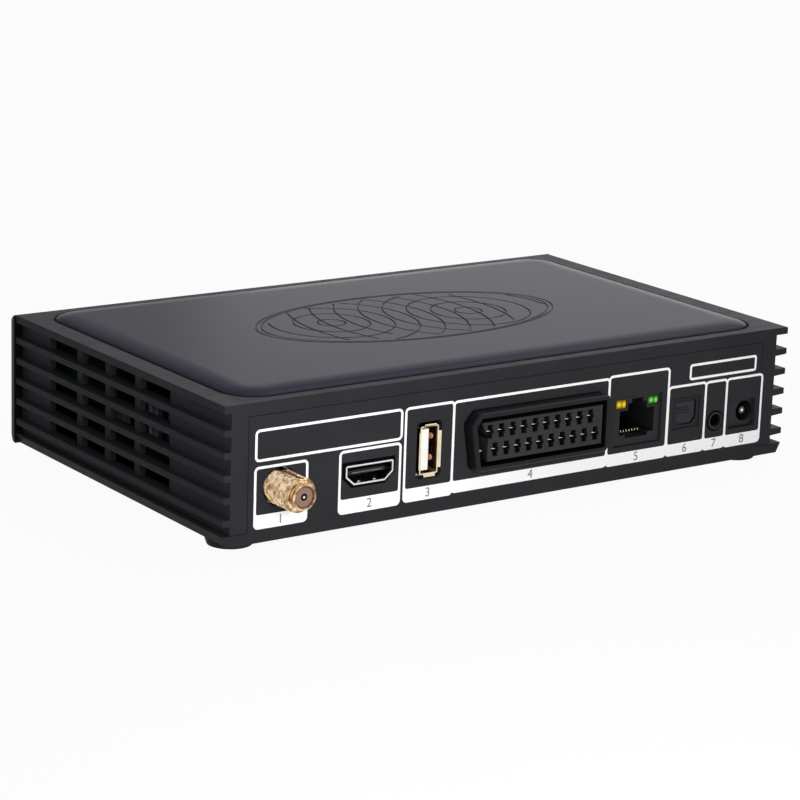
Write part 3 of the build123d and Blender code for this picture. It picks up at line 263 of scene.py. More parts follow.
def lamp(name, base, glow, glow_spots, radius):
    """A clear lamp lens that glows all over, most round given spots. Each spot's glow ends at radius
    millimetres.
    """
    s = Shader(name)
    reach = radius * MM
    total = None
    for spot in glow_spots:
        away = s.tree.nodes.new("ShaderNodeVectorMath")
        away.operation = "DISTANCE"
        s.link(s.place, away.inputs[0])
        away.inputs[1].default_value = spot
        near = s.spread(away.outputs["Value"], 1.0, 0.0, from_low=0.15 * reach, from_high=reach)
        total = near if total is None else larger_of(s.tree, total, near)
    s.link(s.mix(total, base, glow), s.bsdf.inputs["Emission Color"])
    s.set(Base_Color=base, Emission_Strength=0.85, Roughness=0.2, Specular_IOR_Level=0.15)
    s.bump(s.noise(0.6 * MM), depth=0.01 * MM)
    return s.material


def smoked():
    """Smoked window of the display: nearly black, glossy, with a faint red depth."""
    near_black, red_depth = (0.012, 0.008, 0.009, 1), (0.02, 0.012, 0.013, 1)
    s = Shader("smoked_window")
    s.link(s.mix(s.noise(20 * MM), near_black, red_depth), s.bsdf.inputs["Base Color"])
    s.set(Roughness=0.06, Specular_IOR_Level=0.25, Coat_Weight=0.2, Coat_Roughness=0.03)
    s.bump(s.noise(9 * MM, detail=1.0), depth=0.004 * MM)
    return s.material


def glow_places(node, share=0.24, rise=0.1 * MM):
    """Two points on a network lamp's face, where its painted highlight glows most.

    They lie a share of the lamp's width from its middle, one a little higher than the other.
    """
    low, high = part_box(node)
    middle = node_centre(node)
    reach = (high.x - low.x) * share
    return [(middle.x - reach, high.y, middle.z), (middle.x + reach, high.y, middle.z + rise)]


# ---------------------------------------------------------------- materials
case_plastic = moulded("case_plastic", colour(46, 46, 49), 0.55, specular=0.03)
cover_plastic = moulded("cover_plastic", colour(46, 45, 49), 0.5, specular=0.03)
lid_plastic = moulded("lid_plastic", colour(48, 44, 57), 0.24, grain=0.3, depth=0.002, shade=0.01,
                      specular=0.01, edge=0, uneven=0.005)
bezel_plastic = moulded("bezel_plastic", colour(17, 17, 19), 0.22, grain=1.2, depth=0.003, shade=0.04,
                        specular=0.15)
button_plastic = moulded("button_plastic", colour(92, 92, 98), 0.3, grain=0.6, depth=0.004)
window_plastic = smoked()

# Painted shade: cavity darkens the openings and hollows of these sockets.
socket_plastic = moulded("socket_plastic", colour(24, 24, 27), 0.42, grain=0.5, depth=0.006,
                         specular=0.15, cavity=5)
insert_plastic = moulded("insert_plastic", colour(48, 48, 51), 0.5, grain=0.5, depth=0.006,
                         specular=0.1, cavity=3.5)
lan_plastic = moulded("network_plastic", colour(34, 34, 37), 0.4, grain=0.5, depth=0.006,
                      specular=0.15, cavity=9)
inlet_plastic = moulded("inlet_plastic", colour(42, 42, 45), 0.45, grain=0.5, depth=0.006,
                        specular=0.1, cavity=6)
dark_plastic = moulded("dark_plastic", colour(20, 20, 22), 0.35, grain=0.5, depth=0.005)
white_plastic = moulded("white_plastic", colour(238, 236, 230), 0.35, grain=0.5, depth=0.004, shade=0.02)
bead_plastic = moulded("bead_plastic", colour(132, 102, 90), 0.45, grain=0.4, depth=0.004, shade=0.12)
sleeve_plastic = moulded("capacitor_sleeve", colour(34, 30, 44), 0.25, grain=2, depth=0.004)
board_green = moulded("board_green", colour(24, 62, 34), 0.4, grain=2, depth=0.02, shade=0.3, specular=0.1)
# Painted shade: flat black for pieces laid where gaps and creases stand in shade.
painted_shade_black = moulded("painted_shade_black", colour(6, 6, 7), 0.7, specular=0.02, edge=0)

print_white = moulded("print_white", colour(252, 252, 253), 0.55, grain=0.25, depth=0.002, shade=0.02, edge=0)
print_grey = moulded("print_grey", colour(112, 112, 118), 0.6, grain=0.25, depth=0.002, shade=0.02, edge=0)

barrel_plate = threaded_plate()
bright_nickel = metal("bright_nickel_plate", colour(236, 236, 238), 0.2)
gold = metal("gold_plate", colour(232, 204, 150), 0.22)
bright_gold = metal("pale_gold_plate", colour(250, 236, 204), 0.16, shade=0.25)
spring_metal = metal("spring_plate", colour(250, 242, 226), 0.14)
# Painted shade: a dark brown copy of the data shell's plating, for its inside wall.
shell_inside_shade = metal("shell_inside", colour(92, 66, 46), 0.3)
copper = moulded("copper_dimple", colour(240, 176, 144), 0.35, specular=0.4, edge=0)
# Painted shade: a darker copy of the pin's metal for its body inside the socket; its tip is bright nickel.
dark_pin = metal("dark_pin", colour(84, 82, 82), 0.35)
tin = metal("tinplate", colour(190, 190, 190), 0.35, (1, 8, 1), size=1)
screw_metal = metal("screw_zinc", colour(120, 120, 124), 0.4)
aluminium = metal("aluminium", colour(185, 187, 190), 0.4, (1, 6, 1))

# Painted highlight: the network lamps' glow stands in for the bright reflections on their lenses.
yellow_lamp = lamp("lamp_yellow", colour(96, 76, 4), colour(255, 216, 36),
                   glow_places("lan_lamp_yellow"), radius=1.05)
green_lamp = lamp("lamp_green", colour(20, 62, 14), colour(128, 236, 80),
                  glow_places("lan_lamp_green"), radius=1.0)
red_low, red_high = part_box("status_lamp")
red_lamp = lamp("lamp_red", colour(60, 8, 6), colour(140, 20, 12),
                [tuple((red_low + red_high) / 2)], radius=1.5)

finishes = {
    "bottom_shell": case_plastic,
    "top_cover": cover_plastic,
    "front_bezel": bezel_plastic,
    "display_window": window_plastic,
    "power_button": button_plastic,
    "channel_down_button": button_plastic,
    "channel_up_button": button_plastic,
    "case_screws": screw_metal,

    "main_board": board_green,
    "front_board": board_green,
    "board_screws": tin,
    "link_header": dark_plastic,
    "display_module": dark_plastic,
    "infrared_receiver": dark_plastic,
    "status_lamp": red_lamp,
    "button_switches": dark_plastic,
    "tuner_can": tin,
    "processor": dark_plastic,
    "heatsink": aluminium,
    "capacitors": sleeve_plastic,
    "coils": dark_plastic,
    "memory_chips": dark_plastic,

    "coax_insulator": bead_plastic,
    "coax_contact": gold,
    "video_shell": bright_nickel,
    "video_insulator": dark_plastic,
    "data_shell": bright_gold,
    "data_insulator": white_plastic,
    "tv_housing": socket_plastic,
    "tv_insert": insert_plastic,
    "tv_contacts": gold,
    "lan_housing": lan_plastic,
    "lan_lamp_yellow": yellow_lamp,
    "lan_lamp_green": green_lamp,
    "lan_contacts": bright_gold,
    "optical_housing": socket_plastic,
    "optical_lens": white_plastic,
    "optical_shutter": insert_plastic,
    "serial_jack": socket_plastic,
    "power_inlet": inlet_plastic,
    "power_pin": dark_pin,
}
for node_name, finish in finishes.items():
    materials = nodes[node_name].data.materials
    materials.clear()
    materials.append(finish)


# ---------------------------------------------------------------- mesh helpers
def bridge(first, second, count):
    """Quads between two closed rings of the same length, given by their first indices."""
    return [(first + k, first + (k + 1) % count, second + (k + 1) % count, second + k)
            for k in range(count)]


def bridge_round(rings, count):
    """Quads that join rings in turn, and the last ring to the first."""
    faces = []
    for k in range(rings):
        faces += bridge(k * count, (k + 1) % rings * count, count)
    return faces


def rounded_loop(half_x, half_y, radius, per_corner):
    """Points round a rounded rectangle centred on zero, anticlockwise."""
    loop = []
    for corner, (sx, sy) in enumerate(((1, 1), (-1, 1), (-1, -1), (1, -1))):
        for step in range(per_corner + 1):
            angle = math.radians(90 * corner + 90 * step / per_corner)
            loop.append((sx * (half_x - radius) + radius * math.cos(angle),
                         sy * (half_y - radius) + radius * math.sin(angle)))
    return loop


def add_piece(name, points, faces, finish, body="case", smooth=None):
    """A new mesh piece in the frame, riding on a body. Edges below smooth degrees are shaded as round."""
    mesh = bpy.data.meshes.new(name)
    mesh.from_pydata([tuple(p) for p in points], [], [tuple(f) for f in faces])
    mesh.validate()
    mesh.materials.append(finish)
    if smooth is not None:
        mesh.shade_smooth()
        mesh.set_sharp_from_angle(angle=math.radians(smooth))
    piece = bpy.data.objects.new(name, mesh)
    scene.collection.objects.link(piece)
    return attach(piece, body)


def face_outward(piece):
    """Turns a closed piece's faces outward."""
    shape = bmesh.new()
    shape.from_mesh(piece.data)
    bmesh.ops.recalc_face_normals(shape, faces=shape.faces)
    shape.to_mesh(piece.data)
    shape.free()
    return piece


def add_rods(name, ends, radius, finish, body="case", sides=8):
    """Round bars of a radius in millimetres, one between each pair of points."""
    points, faces = [], []
    for start, end in ends:
        along = (end - start).normalized()
        across = along.orthogonal().normalized()
        other = along.cross(across)
        base = len(points)
        for place in (start, end):
            for k in range(sides):
                angle = 2 * math.pi * k / sides
                points.append(place + (across * math.cos(angle) + other * math.sin(angle)) * (radius * MM))
        faces += bridge(base, base + sides, sides)
        faces += [tuple(range(base + sides - 1, base - 1, -1)), tuple(range(base + sides, base + 2 * sides))]
    return add_piece(name, points, faces, finish, body, smooth=50)


def add_turned(name, centre, rows, finish, around=40):
    """A ring turned round an axis along Y, from a closed outline.

    The outline's points are (radius, distance along Y) in millimetres.
    """
    points = []
    for radius, along in rows:
        for n in range(around):
            angle = 2 * math.pi * n / around
            points.append(centre + Vector((radius * math.cos(angle), along, radius * math.sin(angle))) * MM)
    faces = bridge_round(len(rows), around)
    return face_outward(add_piece(name, points, faces, finish, smooth=40))


def add_washer(name, centre, inner, outer, back, front):
    """A flat black ring with square edges, in millimetres: painted shade that reads as a shadowed gap."""
    rows = [(inner, back), (outer, back), (outer, front), (inner, front)]
    return add_turned(name, centre, rows, painted_shade_black)


# ---------------------------------------------------------------- raised lid panel with engraved lines
lid_low, lid_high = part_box("lid_panel")
lid_centre = (lid_low + lid_high) / 2
lid_half_x = (lid_high.x - lid_low.x) / 2
lid_half_y = (lid_high.y - lid_low.y) / 2
lid_corner = 9.4 * MM
lid_per_corner = 14                   # facets of each corner
lid_lip = 0.65 * MM                   # height at which the rolled edge starts
lid_under_inset = 0.4 * MM            # chamfer of the underside
lid_under_rise = 0.3 * MM
roll_width = 7.0 * MM
roll_insets = [0.0, 0.05, 0.18, 0.4, 0.75, 1.2, 1.8, 2.6, 3.6, 4.8, 5.9, 7.0]     # millimetres
groove_half = 0.33 * MM
groove_depth = 0.24 * MM
groove_bank = groove_half * 0.98      # where the groove's slope ends, just inside its bank lines
oval_x, oval_y = 48.5 * MM, 25.5 * MM
oval_centre = (half_width - 96.0 * MM, rear_y - 57.0 * MM)
inner_oval = 0.965                    # share of the outer oval's size
ripple_limit = 0.955                  # share of the oval that the ripples stay in
ripple_centres = [(-20.0, 2.0), (24.0, -3.0)]        # millimetres from the oval's centre
ripple_first, ripple_step, ripple_count = 4.0, 7.0, 8
ripple_facet = 0.8 * MM
ripple_start = 0.37                   # radians


def roll_height(inward):
    """Height of the panel's surface above its underside, at a distance in from its outline."""
    full = lid_high.z - lid_low.z
    if inward >= roll_width:
        return full
    return lid_lip + (full - lid_lip) * math.sqrt(max(0.0, 1 - ((roll_width - inward) / roll_width) ** 2))


def inside_oval(x, y, scale):
    """Whether a point, counted from the oval's centre, is inside the oval."""
    return (x / (oval_x * scale)) ** 2 + (y / (oval_y * scale)) ** 2 < 1


def oval_line(scale, count=150):
    """A closed oval of engraved line."""
    angles = [2 * math.pi * k / count for k in range(count + 1)]
    return [(oval_x * scale * math.cos(angle), oval_y * scale * math.sin(angle)) for angle in angles]


def ripples(centre_x, centre_y):
    """Circular ripples round a point, kept where they are inside the oval."""
    lines = []
    for number in range(ripple_count):
        radius = (ripple_first + ripple_step * number) * MM
        pieces = max(24, int(radius / ripple_facet))
        run = []
        for k in range(pieces + 1):
            angle = 2 * math.pi * k / pieces + ripple_start
            x = centre_x * MM + radius * math.cos(angle)
            y = centre_y * MM + radius * math.sin(angle)
            if inside_oval(x, y, ripple_limit):
                run.append((x, y))
            else:
                if len(run) > 2:
                    lines.append(run)
                run = []
        if len(run) > 2:
            lines.append(run)
    return lines


def engraved_lines():
    """The lid's decoration: a double oval frame with ripples spreading from two points."""
    lines = [oval_line(1.0), oval_line(inner_oval)]
    for centre_x, centre_y in ripple_centres:
        lines += ripples(centre_x, centre_y)
    return [[(oval_centre[0] + x, oval_centre[1] + y) for x, y in line] for line in lines]


def moved_sideways(line, offset):
    """A polyline moved sideways by offset."""
    moved = []
    for k, point in enumerate(line):
        before = Vector(line[max(0, k - 1)])
        after = Vector(line[min(len(line) - 1, k + 1)])
        if line[0] == line[-1] and k in (0, len(line) - 1):
            before, after = Vector(line[-2]), Vector(line[1])
        along = (after - before).normalized()
        moved.append((point[0] - along.y * offset, point[1] + along.x * offset))
    return moved


def sheet_outline(border, lines):
    """Points and edges that the top sheet follows: its border, and each groove's middle and two banks.

    A groove with open ends also gets a tip beyond each end, which closes it.
    """
    flat = list(border)
    edges = [(k, (k + 1) % len(border)) for k in range(len(border))]
    for line in lines:
        starts = []
        for offset in (-groove_half, 0.0, groove_half):
            start = len(flat)
            starts.append(start)
            flat.extend(moved_sideways(line, offset) if offset else line)
            edges.extend((start + k, start + k + 1) for k in range(len(line) - 1))
        if line[0] != line[-1]:
            for end, beside in ((0, 1), (len(line) - 1, len(line) - 2)):
                outward = (Vector(line[end]) - Vector(line[beside])).normalized() * groove_half
                flat.append(tuple(Vector(line[end]) + outward))
                edges.extend((starts[side] + end, len(flat) - 1) for side in (0, 2))
    return flat, edges


def nearest_distance(points, lines):
    """Distance of each point to the nearest line."""
    starts = np.array([line[k] for line in lines for k in range(len(line) - 1)])
    ends = np.array([line[k + 1] for line in lines for k in range(len(line) - 1)])
    along = ends - starts
    squared = (along ** 2).sum(1)
    best = np.full(len(points), 1e9)
    for number, point in enumerate(np.array(points)):
        share = np.clip(((point - starts) * along).sum(1) / squared, 0, 1)
        gap = starts + share[:, None] * along - point
        best[number] = math.sqrt((gap ** 2).sum(1).min())
    return best


def build_lid():
    """The panel's rolled edge as rings, and its top as a triangulated sheet with V-shaped grooves."""
    points, faces = [], []
    count = 4 * (lid_per_corner + 1)

    def ring(inward, z):
        loop = rounded_loop(lid_half_x - inward, lid_half_y - inward, lid_corner - inward, lid_per_corner)
        points.extend((lid_centre.x + x, lid_centre.y + y, z) for x, y in loop)
        return len(points) - count

    under = ring(lid_under_inset, lid_low.z)
    last = ring(0.0, lid_low.z + lid_under_rise)
    faces += bridge(under, last, count)
    for inset in roll_insets:
        made = ring(inset * MM, lid_low.z + roll_height(inset * MM))
        faces += bridge(last, made, count)
        last = made
    faces.append(tuple(range(under + count - 1, under - 1, -1)))

    lines = engraved_lines()
    flat, edges = sheet_outline([(x, y) for x, y, z in points[last:last + count]], lines)
    corners, _, triangles, _, _, _ = delaunay_2d_cdt([Vector(p) for p in flat], edges, [], 0, 1e-7)
    sheet = [(p.x, p.y) for p in corners]
    base = len(points)
    for (x, y), gap in zip(sheet, nearest_distance(sheet, lines)):
        depth = groove_depth * max(0.0, 1 - gap / groove_bank)
        points.append((x, y, lid_high.z - depth))
    faces += [tuple(base + k for k in face) for face in triangles]
    lid = add_piece("lid_panel_engraved", points, faces, lid_plastic, smooth=24)
    for face in lid.data.polygons[-len(triangles):]:
        face.use_smooth = False
    weld = lid.modifiers.new("weld", "WELD")
    weld.merge_threshold = 0.002 * MM
    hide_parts("lid_panel")


def build_crease(inner=-0.3, outer=0.32, thickness=0.015):
    """Black shade line where the panel meets the cover's flat border, in millimetres from its outline."""
    border_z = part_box("top_cover")[1].z
    points = []
    for grow, rise in ((inner, 0.0), (outer, 0.0), (outer, thickness), (inner, thickness)):
        loop = rounded_loop(lid_half_x + grow * MM, lid_half_y + grow * MM, lid_corner + grow * MM,
                            lid_per_corner)
        points += [(lid_centre.x + x, lid_centre.y + y, border_z + rise * MM) for x, y in loop]
    face_outward(add_piece("lid_crease", points, bridge_round(4, len(points) // 4), painted_shade_black))


build_lid()
build_crease()

# ---------------------------------------------------------------- printing on the rear panel, millimetres
print_from, print_to = 0.015, 0.045      # proud of the panel
print_line = 0.7                         # width of the printed lines
frame_corner = 1.4
least_corner = 0.2                       # of a box's bare inside
frame_facets = 6
number_size = 3.6
number_extrude = 0.01
number_proud = 0.012                     # of the numbers' middle, over the white print
# left, right, low, high, top of the label strip, label
frames = [
    (9.1, 25.5, 3.3, 20.0, 7.1, "1"),
    (35.0, 54.7, 3.4, 20.7, 7.4, "2"),
    (55.5, 71.75, 3.7, 29.8, 7.45, "3"),
    (71.1, 124.8, 4.1, 29.7, 7.45, "4"),
    (124.15, 146.35, 4.0, 30.2, 7.5, "5"),
    (145.9, 160.3, 4.0, 24.5, 7.5, "6"),
    (159.65, 168.2, 3.95, 24.4, 7.5, "7"),
    (167.55, 181.6, 3.85, 24.4, 7.5, "8"),
]
# left, right, low, high, corner radius
bare_boxes = [(9.2, 54.9, 21.2, 29.8, 1.4), (153.5, 178.6, 25.4, 30.1, 0.9)]


def box_loop(left, right, low, high, radius):
    """Outline of a box with rounded corners."""
    centre_u, centre_w = (left + right) / 2, (low + high) / 2
    loop = rounded_loop((right - left) / 2, (high - low) / 2, radius, frame_facets)
    return [(centre_u + x, centre_w + y) for x, y in loop]


def inside_box(point, left, right, low, high, radius):
    """Whether a point lies in a box with rounded corners."""
    over_u = abs(point[0] - (left + right) / 2) - (right - left) / 2 + radius
    over_w = abs(point[1] - (low + high) / 2) - (high - low) / 2 + radius
    return math.hypot(max(over_u, 0), max(over_w, 0)) < radius and max(over_u, over_w) < radius


def printed_areas():
    """Each frame's outer box and its bare inside: white is what lies in one and not in the other."""
    areas = []
    for left, right, low, high, label_top, _ in frames:
        outer = (left, right, low, high, frame_corner)
        inner = (left + print_line, right - print_line, label_top, high - print_line,
                 frame_corner - print_line)
        areas.append((outer, inner))
    for left, right, low, high, radius in bare_boxes:
        inner = (left + print_line, right - print_line, low + print_line, high - print_line,
                 max(radius - print_line, least_corner))
        areas.append(((left, right, low, high, radius), inner))
    return areas


def build_printing():
    """All the white print as one thin sheet, so that no two printed areas lie in each other."""
    areas = printed_areas()
    flat, edges = [], []
    for boxes in areas:
        for box in boxes:
            loop = box_loop(*box)
            base = len(flat)
            flat.extend(Vector(p) for p in loop)
            edges.extend((base + k, base + (k + 1) % len(loop)) for k in range(len(loop)))
    corners, _, triangles, _, _, _ = delaunay_2d_cdt(flat, edges, [], 0, 1e-5)
    faces = []
    for face in triangles:
        middle = sum((corners[k] for k in face), Vector((0, 0))) / len(face)
        if any(inside_box(middle, *outer) and not inside_box(middle, *inner) for outer, inner in areas):
            faces.append(tuple(face))
    points = [on_panel(p.x, p.y, print_to) for p in corners]
    printing = add_piece("rear_printing", points, faces, print_white)
    ink = printing.modifiers.new("ink", "SOLIDIFY")
    ink.thickness = (print_to - print_from) * MM
    ink.offset = 1.0 if printing.data.polygons[0].normal.y < 0 else -1.0


def add_number(text, across, up):
    """A plain printed number, upright on the rear panel."""
    data = bpy.data.curves.new("number_" + text, "FONT")
    data.body = text
    data.size = number_size * MM
    data.align_x = "CENTER"
    data.align_y = "CENTER"
    data.extrude = number_extrude * MM
    data.materials.append(print_grey)
    number = bpy.data.objects.new("number_" + text, data)
    scene.collection.objects.link(number)
    upright = Matrix(((-1, 0, 0), (0, 0, 1), (0, 1, 0))).to_4x4()
    number.matrix_world = Matrix.Translation(on_panel(across, up, print_to + number_proud)) @ upright
    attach(number, "case")


build_printing()
for left, right, low, high, label_top, label in frames:
    add_number(label, (left + right) / 2, (low + label_top) / 2)

# ---------------------------------------------------------------- threaded coaxial barrel
barrel_low, barrel_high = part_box("coax_barrel")
bead_low, bead_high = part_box("coax_insulator")
barrel_x = (barrel_low.x + barrel_high.x) / 2
thread_radius = (barrel_high.x - barrel_low.x) / 2
barrel_z = barrel_low.z + thread_radius
barrel_flat = barrel_high.z - barrel_z               # height of the flat above the axis
bore_radius = (bead_high.x - bead_low.x) / 2
barrel_facets = 96
thread_pitch = 0.794 * MM
thread_rows = 6                                      # rows of points in each turn
thread_depth = 0.42 * MM
flank_slope, crest_share = 1.35, 0.1                 # steepness of the flanks, and what the crest cuts off
thread_run_out = 0.5 * MM                            # chamfer at the thread's end
thread_end = rear_y + 9.6 * MM
# beyond the thread's end, and radius, in millimetres
neck = [(0.05, 4.0), (0.1, 3.3), (0.25, 3.12), (0.4, 3.12), (0.45, 3.45)]
nose_radius, nose_chamfer = 3.5, 0.25                # millimetres
bore_chamfer = 0.2 * MM
# Painted shade in the barrel's colour: how dark the grooves, the neck and bore, and the flat along the top
# are
groove_shade, neck_shade, flat_shade = 0.4, 0.8, 1.0
neck_limit = 3.2 * MM                                # radii below it are in the neck or the bore


def barrel_rows():
    """Rows (place along Y, radius) from the panel to the nose and back through the bore.

    Where the radius is None the thread gives it.
    """
    steps = int((thread_end - barrel_low.y) / thread_pitch * thread_rows)
    rows = [(barrel_low.y + (thread_end - barrel_low.y) * k / steps, None) for k in range(steps + 1)]
    rows += [(thread_end + beyond * MM, radius * MM) for beyond, radius in neck]
    rows += [(barrel_high.y - nose_chamfer * MM, nose_radius * MM),
             (barrel_high.y, (nose_radius - nose_chamfer) * MM),
             (barrel_high.y, bore_radius + bore_chamfer),
             (barrel_high.y - bore_chamfer, bore_radius),
             (barrel_low.y, bore_radius)]
    return rows


def thread_surface(y, turn):
    """Radius of the thread at a place along it, at a share of a turn."""
    phase = ((y - barrel_low.y) / thread_pitch + turn) % 1.0
    sunk = flank_slope * abs(2 * phase - 1) - crest_share
    radius = thread_radius - thread_depth * max(0.0, min(1.0, sunk))
    return min(radius, thread_radius - max(0.0, thread_run_out - (thread_end - y)))


def build_barrel():
    """A lathe form with a helical thread, a flat along its top, a necked nose and the bead's bore."""
    rows = barrel_rows()
    points, barrel_painted_shade = [], []
    for y, radius in rows:
        for n in range(barrel_facets):
            angle = 2 * math.pi * n / barrel_facets
            r = thread_surface(y, n / barrel_facets) if radius is None else radius
            rise = r * math.sin(angle)
            points.append((barrel_x + r * math.cos(angle), y, barrel_z + min(rise, barrel_flat)))
            # Painted shade: each point's share of brown, for the barrel's colour
            if radius is None:
                hollow = groove_shade * (thread_radius - r) / thread_depth
            else:
                hollow = neck_shade if radius < neck_limit else 0.0
            barrel_painted_shade.append(flat_shade if rise > barrel_flat else min(1.0, hollow))
    faces = bridge_round(len(rows), barrel_facets)
    barrel = face_outward(add_piece("coax_barrel_threaded", points, faces, barrel_plate, smooth=35))
    shade = barrel.data.attributes.new("barrel_painted_shade", "FLOAT", "POINT")
    shade.data.foreach_set("value", barrel_painted_shade)
    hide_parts("coax_barrel")


build_barrel()

# ---------------------------------------------------------------- coaxial socket: painted shade ring and contact
bead_face = rear_end("coax_insulator")
add_washer("coax_contact_shade", bead_face, inner=0.42, outer=0.95, back=-0.1, front=0.02)
contact_start = bead_face - Vector((0, 0.3, 0)) * MM
contact_end = bead_face + Vector((0, 0.06, 0)) * MM
add_rods("coax_contact_tip", [(contact_start, contact_end)], 0.36, bright_gold, sides=14)

# ---------------------------------------------------------------- video socket, millimetres
video_low, video_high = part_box("video_shell")
video_centre = (video_low + video_high) / 2
video_half_wide, video_half_tall = 7.5, 2.7
video_foot, video_upright = 4.9, -0.45      # half width of the narrow side, and where the slopes start
tongue_from, tongue_to = 39.8, 40.02        # across, of the first contact's two ends
tongue_pitch, tongue_count = 0.5, 19
tongue_up, tongue_proud = 13.95, -0.95
spring_places = (41.4, 46.4)
spring_half, spring_up, spring_proud = 0.4, 11.75, -0.3


def video_outline(grow):
    """Outline of the video shell, grown, counted from its centre."""
    wide, tall = video_half_wide + grow, video_half_tall + grow
    foot, upright = video_foot + 0.5 * grow, video_upright - 0.2 * grow
    return [(wide, tall), (-wide, tall), (-wide, upright), (-foot, -tall), (foot, -tall), (wide, upright)]


def build_video_gap(inner=0.02, outer=0.85, thickness=0.012):
    """Black shade line in the panel's cut-out round the video shell."""
    points = []
    for grow, proud in ((inner, 0.0), (outer, 0.0), (outer, thickness), (inner, thickness)):
        points += [Vector((video_centre.x + x * MM, rear_y + proud * MM, video_centre.z + z * MM))
                   for x, z in video_outline(grow)]
    face_outward(add_piece("video_gap", points, bridge_round(4, len(points) // 4), painted_shade_black))


build_video_gap()
add_rods("video_tongue_contacts",
         [(on_panel(tongue_from + tongue_pitch * k, tongue_up, tongue_proud),
           on_panel(tongue_to + tongue_pitch * k, tongue_up, tongue_proud)) for k in range(tongue_count)],
         0.12, bright_gold, sides=6)
add_rods("video_springs",
         [(on_panel(u - spring_half, spring_up, spring_proud),
           on_panel(u + spring_half, spring_up, spring_proud)) for u in spring_places],
         0.14, bright_nickel)

# ---------------------------------------------------------------- data socket
shell_low, shell_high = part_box("data_shell")
inside_wall_across, shade_sheet_thickness = 66.18, 0.06          # millimetres
shade_sheet_low, shade_sheet_high = 11.6, 23.0
shade_sheet_front, shade_sheet_back = -0.6, -8
dimples = [(20.26, -2.7), (14.32, -2.9)]             # up and proud
dimple_radius, dimple_length = 0.8, 0.3
cut_margin = 0.55 * MM                               # from the shell's lips to the cut-out
cut_corner = 1.5 * MM
cut_depth = 0.9 * MM
cut_lap = 0.05 * MM                                  # of each corner's fill into the panel


def build_shell_shade():
    """Painted shade: the shell's inside wall, as a thin sheet in a darker brown copy of its plating."""
    points = [on_panel(across, up, proud)
              for across in (inside_wall_across, inside_wall_across - shade_sheet_thickness)
              for up, proud in ((shade_sheet_low, shade_sheet_front), (shade_sheet_low, shade_sheet_back),
                                (shade_sheet_high, shade_sheet_back), (shade_sheet_high, shade_sheet_front))]
    faces = [(0, 1, 2, 3), (7, 6, 5, 4), (0, 4, 5, 1), (1, 5, 6, 2), (2, 6, 7, 3), (3, 7, 4, 0)]
    add_piece("data_shell_inside", points, faces, shell_inside_shade)


def build_cut_out_corner(number, side_x, side_z):
    """Fills one corner of the data socket's cut-out, leaving it round."""
    corner_x = shell_high.x + cut_margin if side_x > 0 else shell_low.x - cut_margin
    corner_z = shell_high.z + cut_margin if side_z > 0 else shell_low.z - cut_margin
    outline = [(corner_x + side_x * cut_lap, corner_z + side_z * cut_lap)]
    for k in range(7):
        angle = math.radians(15 * k)
        outline.append((corner_x - side_x * cut_corner * (1 - math.cos(angle)),
                        corner_z - side_z * cut_corner * (1 - math.sin(angle))))
    points = [Vector((x, rear_y - back, z)) for back in (0, cut_depth) for x, z in outline]
    count = len(outline)
    faces = bridge(0, count, count) + [(0, k, k + 1) for k in range(1, count - 1)]
    faces += [(count, count + k + 1, count + k) for k in range(1, count - 1)]
    face_outward(add_piece("data_cut_out_corner_%d" % number, points, faces, case_plastic))


build_shell_shade()
add_rods("data_shell_dimples",
         [(on_panel(inside_wall_across, up, proud), on_panel(inside_wall_across - dimple_length, up, proud))
          for up, proud in dimples], dimple_radius, copper, sides=18)
for number, (side_x, side_z) in enumerate(((1, 1), (-1, 1), (-1, -1), (1, -1)), start=1):
    build_cut_out_corner(number, side_x, side_z)

# ---------------------------------------------------------------- television socket
# A bright spring edge, slightly tilted, crosses each opening. The lower row is half a pitch to the side.
blades_low, blades_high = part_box("tv_contacts")
tv_pitch, tv_row_drop = 3.81 * MM, 5.08 * MM
tv_per_row = 10
tv_last_x = blades_low.x + 1.15 * MM                 # of the lower row's last spring edge
tv_edge_y, tv_edge_z = blades_high.y + 0.8 * MM, blades_high.z - 0.3 * MM
tv_upper = [Vector((tv_last_x + (tv_per_row - 0.5 - n) * tv_pitch, tv_edge_y, tv_edge_z))
            for n in range(tv_per_row)]
tv_lower = [place - Vector((tv_pitch / 2, 0, tv_row_drop)) for place in tv_upper]
tv_half_edge = Vector((1.1, 0, 0.12)) * MM
add_rods("tv_contact_springs",
         [(place + tv_half_edge, place - tv_half_edge) for place in tv_upper + tv_lower],
         0.2, spring_metal, sides=10)
shield_place = Vector((blades_high.x - 0.55 * MM, blades_high.y + 0.3 * MM, tv_lower[0].z - 0.2 * MM))
shield_start = shield_place + Vector((0.9, 0, 0.1)) * MM
shield_end = shield_place - Vector((0.6, 0, 0.1)) * MM
add_rods("tv_shield_spring", [(shield_start, shield_end)], 0.2, spring_metal, sides=10)

# ---------------------------------------------------------------- network socket, millimetres
# The bright front bends of the eight contacts.
lan_first, lan_pitch, lan_count = 131.95, 1.02, 8
lan_places = [lan_first + lan_pitch * k for k in range(lan_count)]
bend_front, bend_back = (11.9, -4.25), (12.35, -4.6)      # up and proud
add_rods("lan_contact_tips", [(on_panel(u, *bend_front), on_panel(u, *bend_back)) for u in lan_places],
         0.2, bright_gold)

# ---------------------------------------------------------------- optical socket, millimetres
# Three fine ridges on the shutter.
shutter_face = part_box("optical_shutter")[1].y
ridge_from, ridge_to = 149.7, 154.7
ridge_heights = (17.5, 16.72, 15.95)
for number, up in enumerate(ridge_heights, start=1):
    start, end = on_panel(ridge_from, up), on_panel(ridge_to, up)
    start.y = end.y = shutter_face
    add_rods("shutter_ridge_%d" % number, [(start, end)], 0.13, socket_plastic, "optical_shutter")

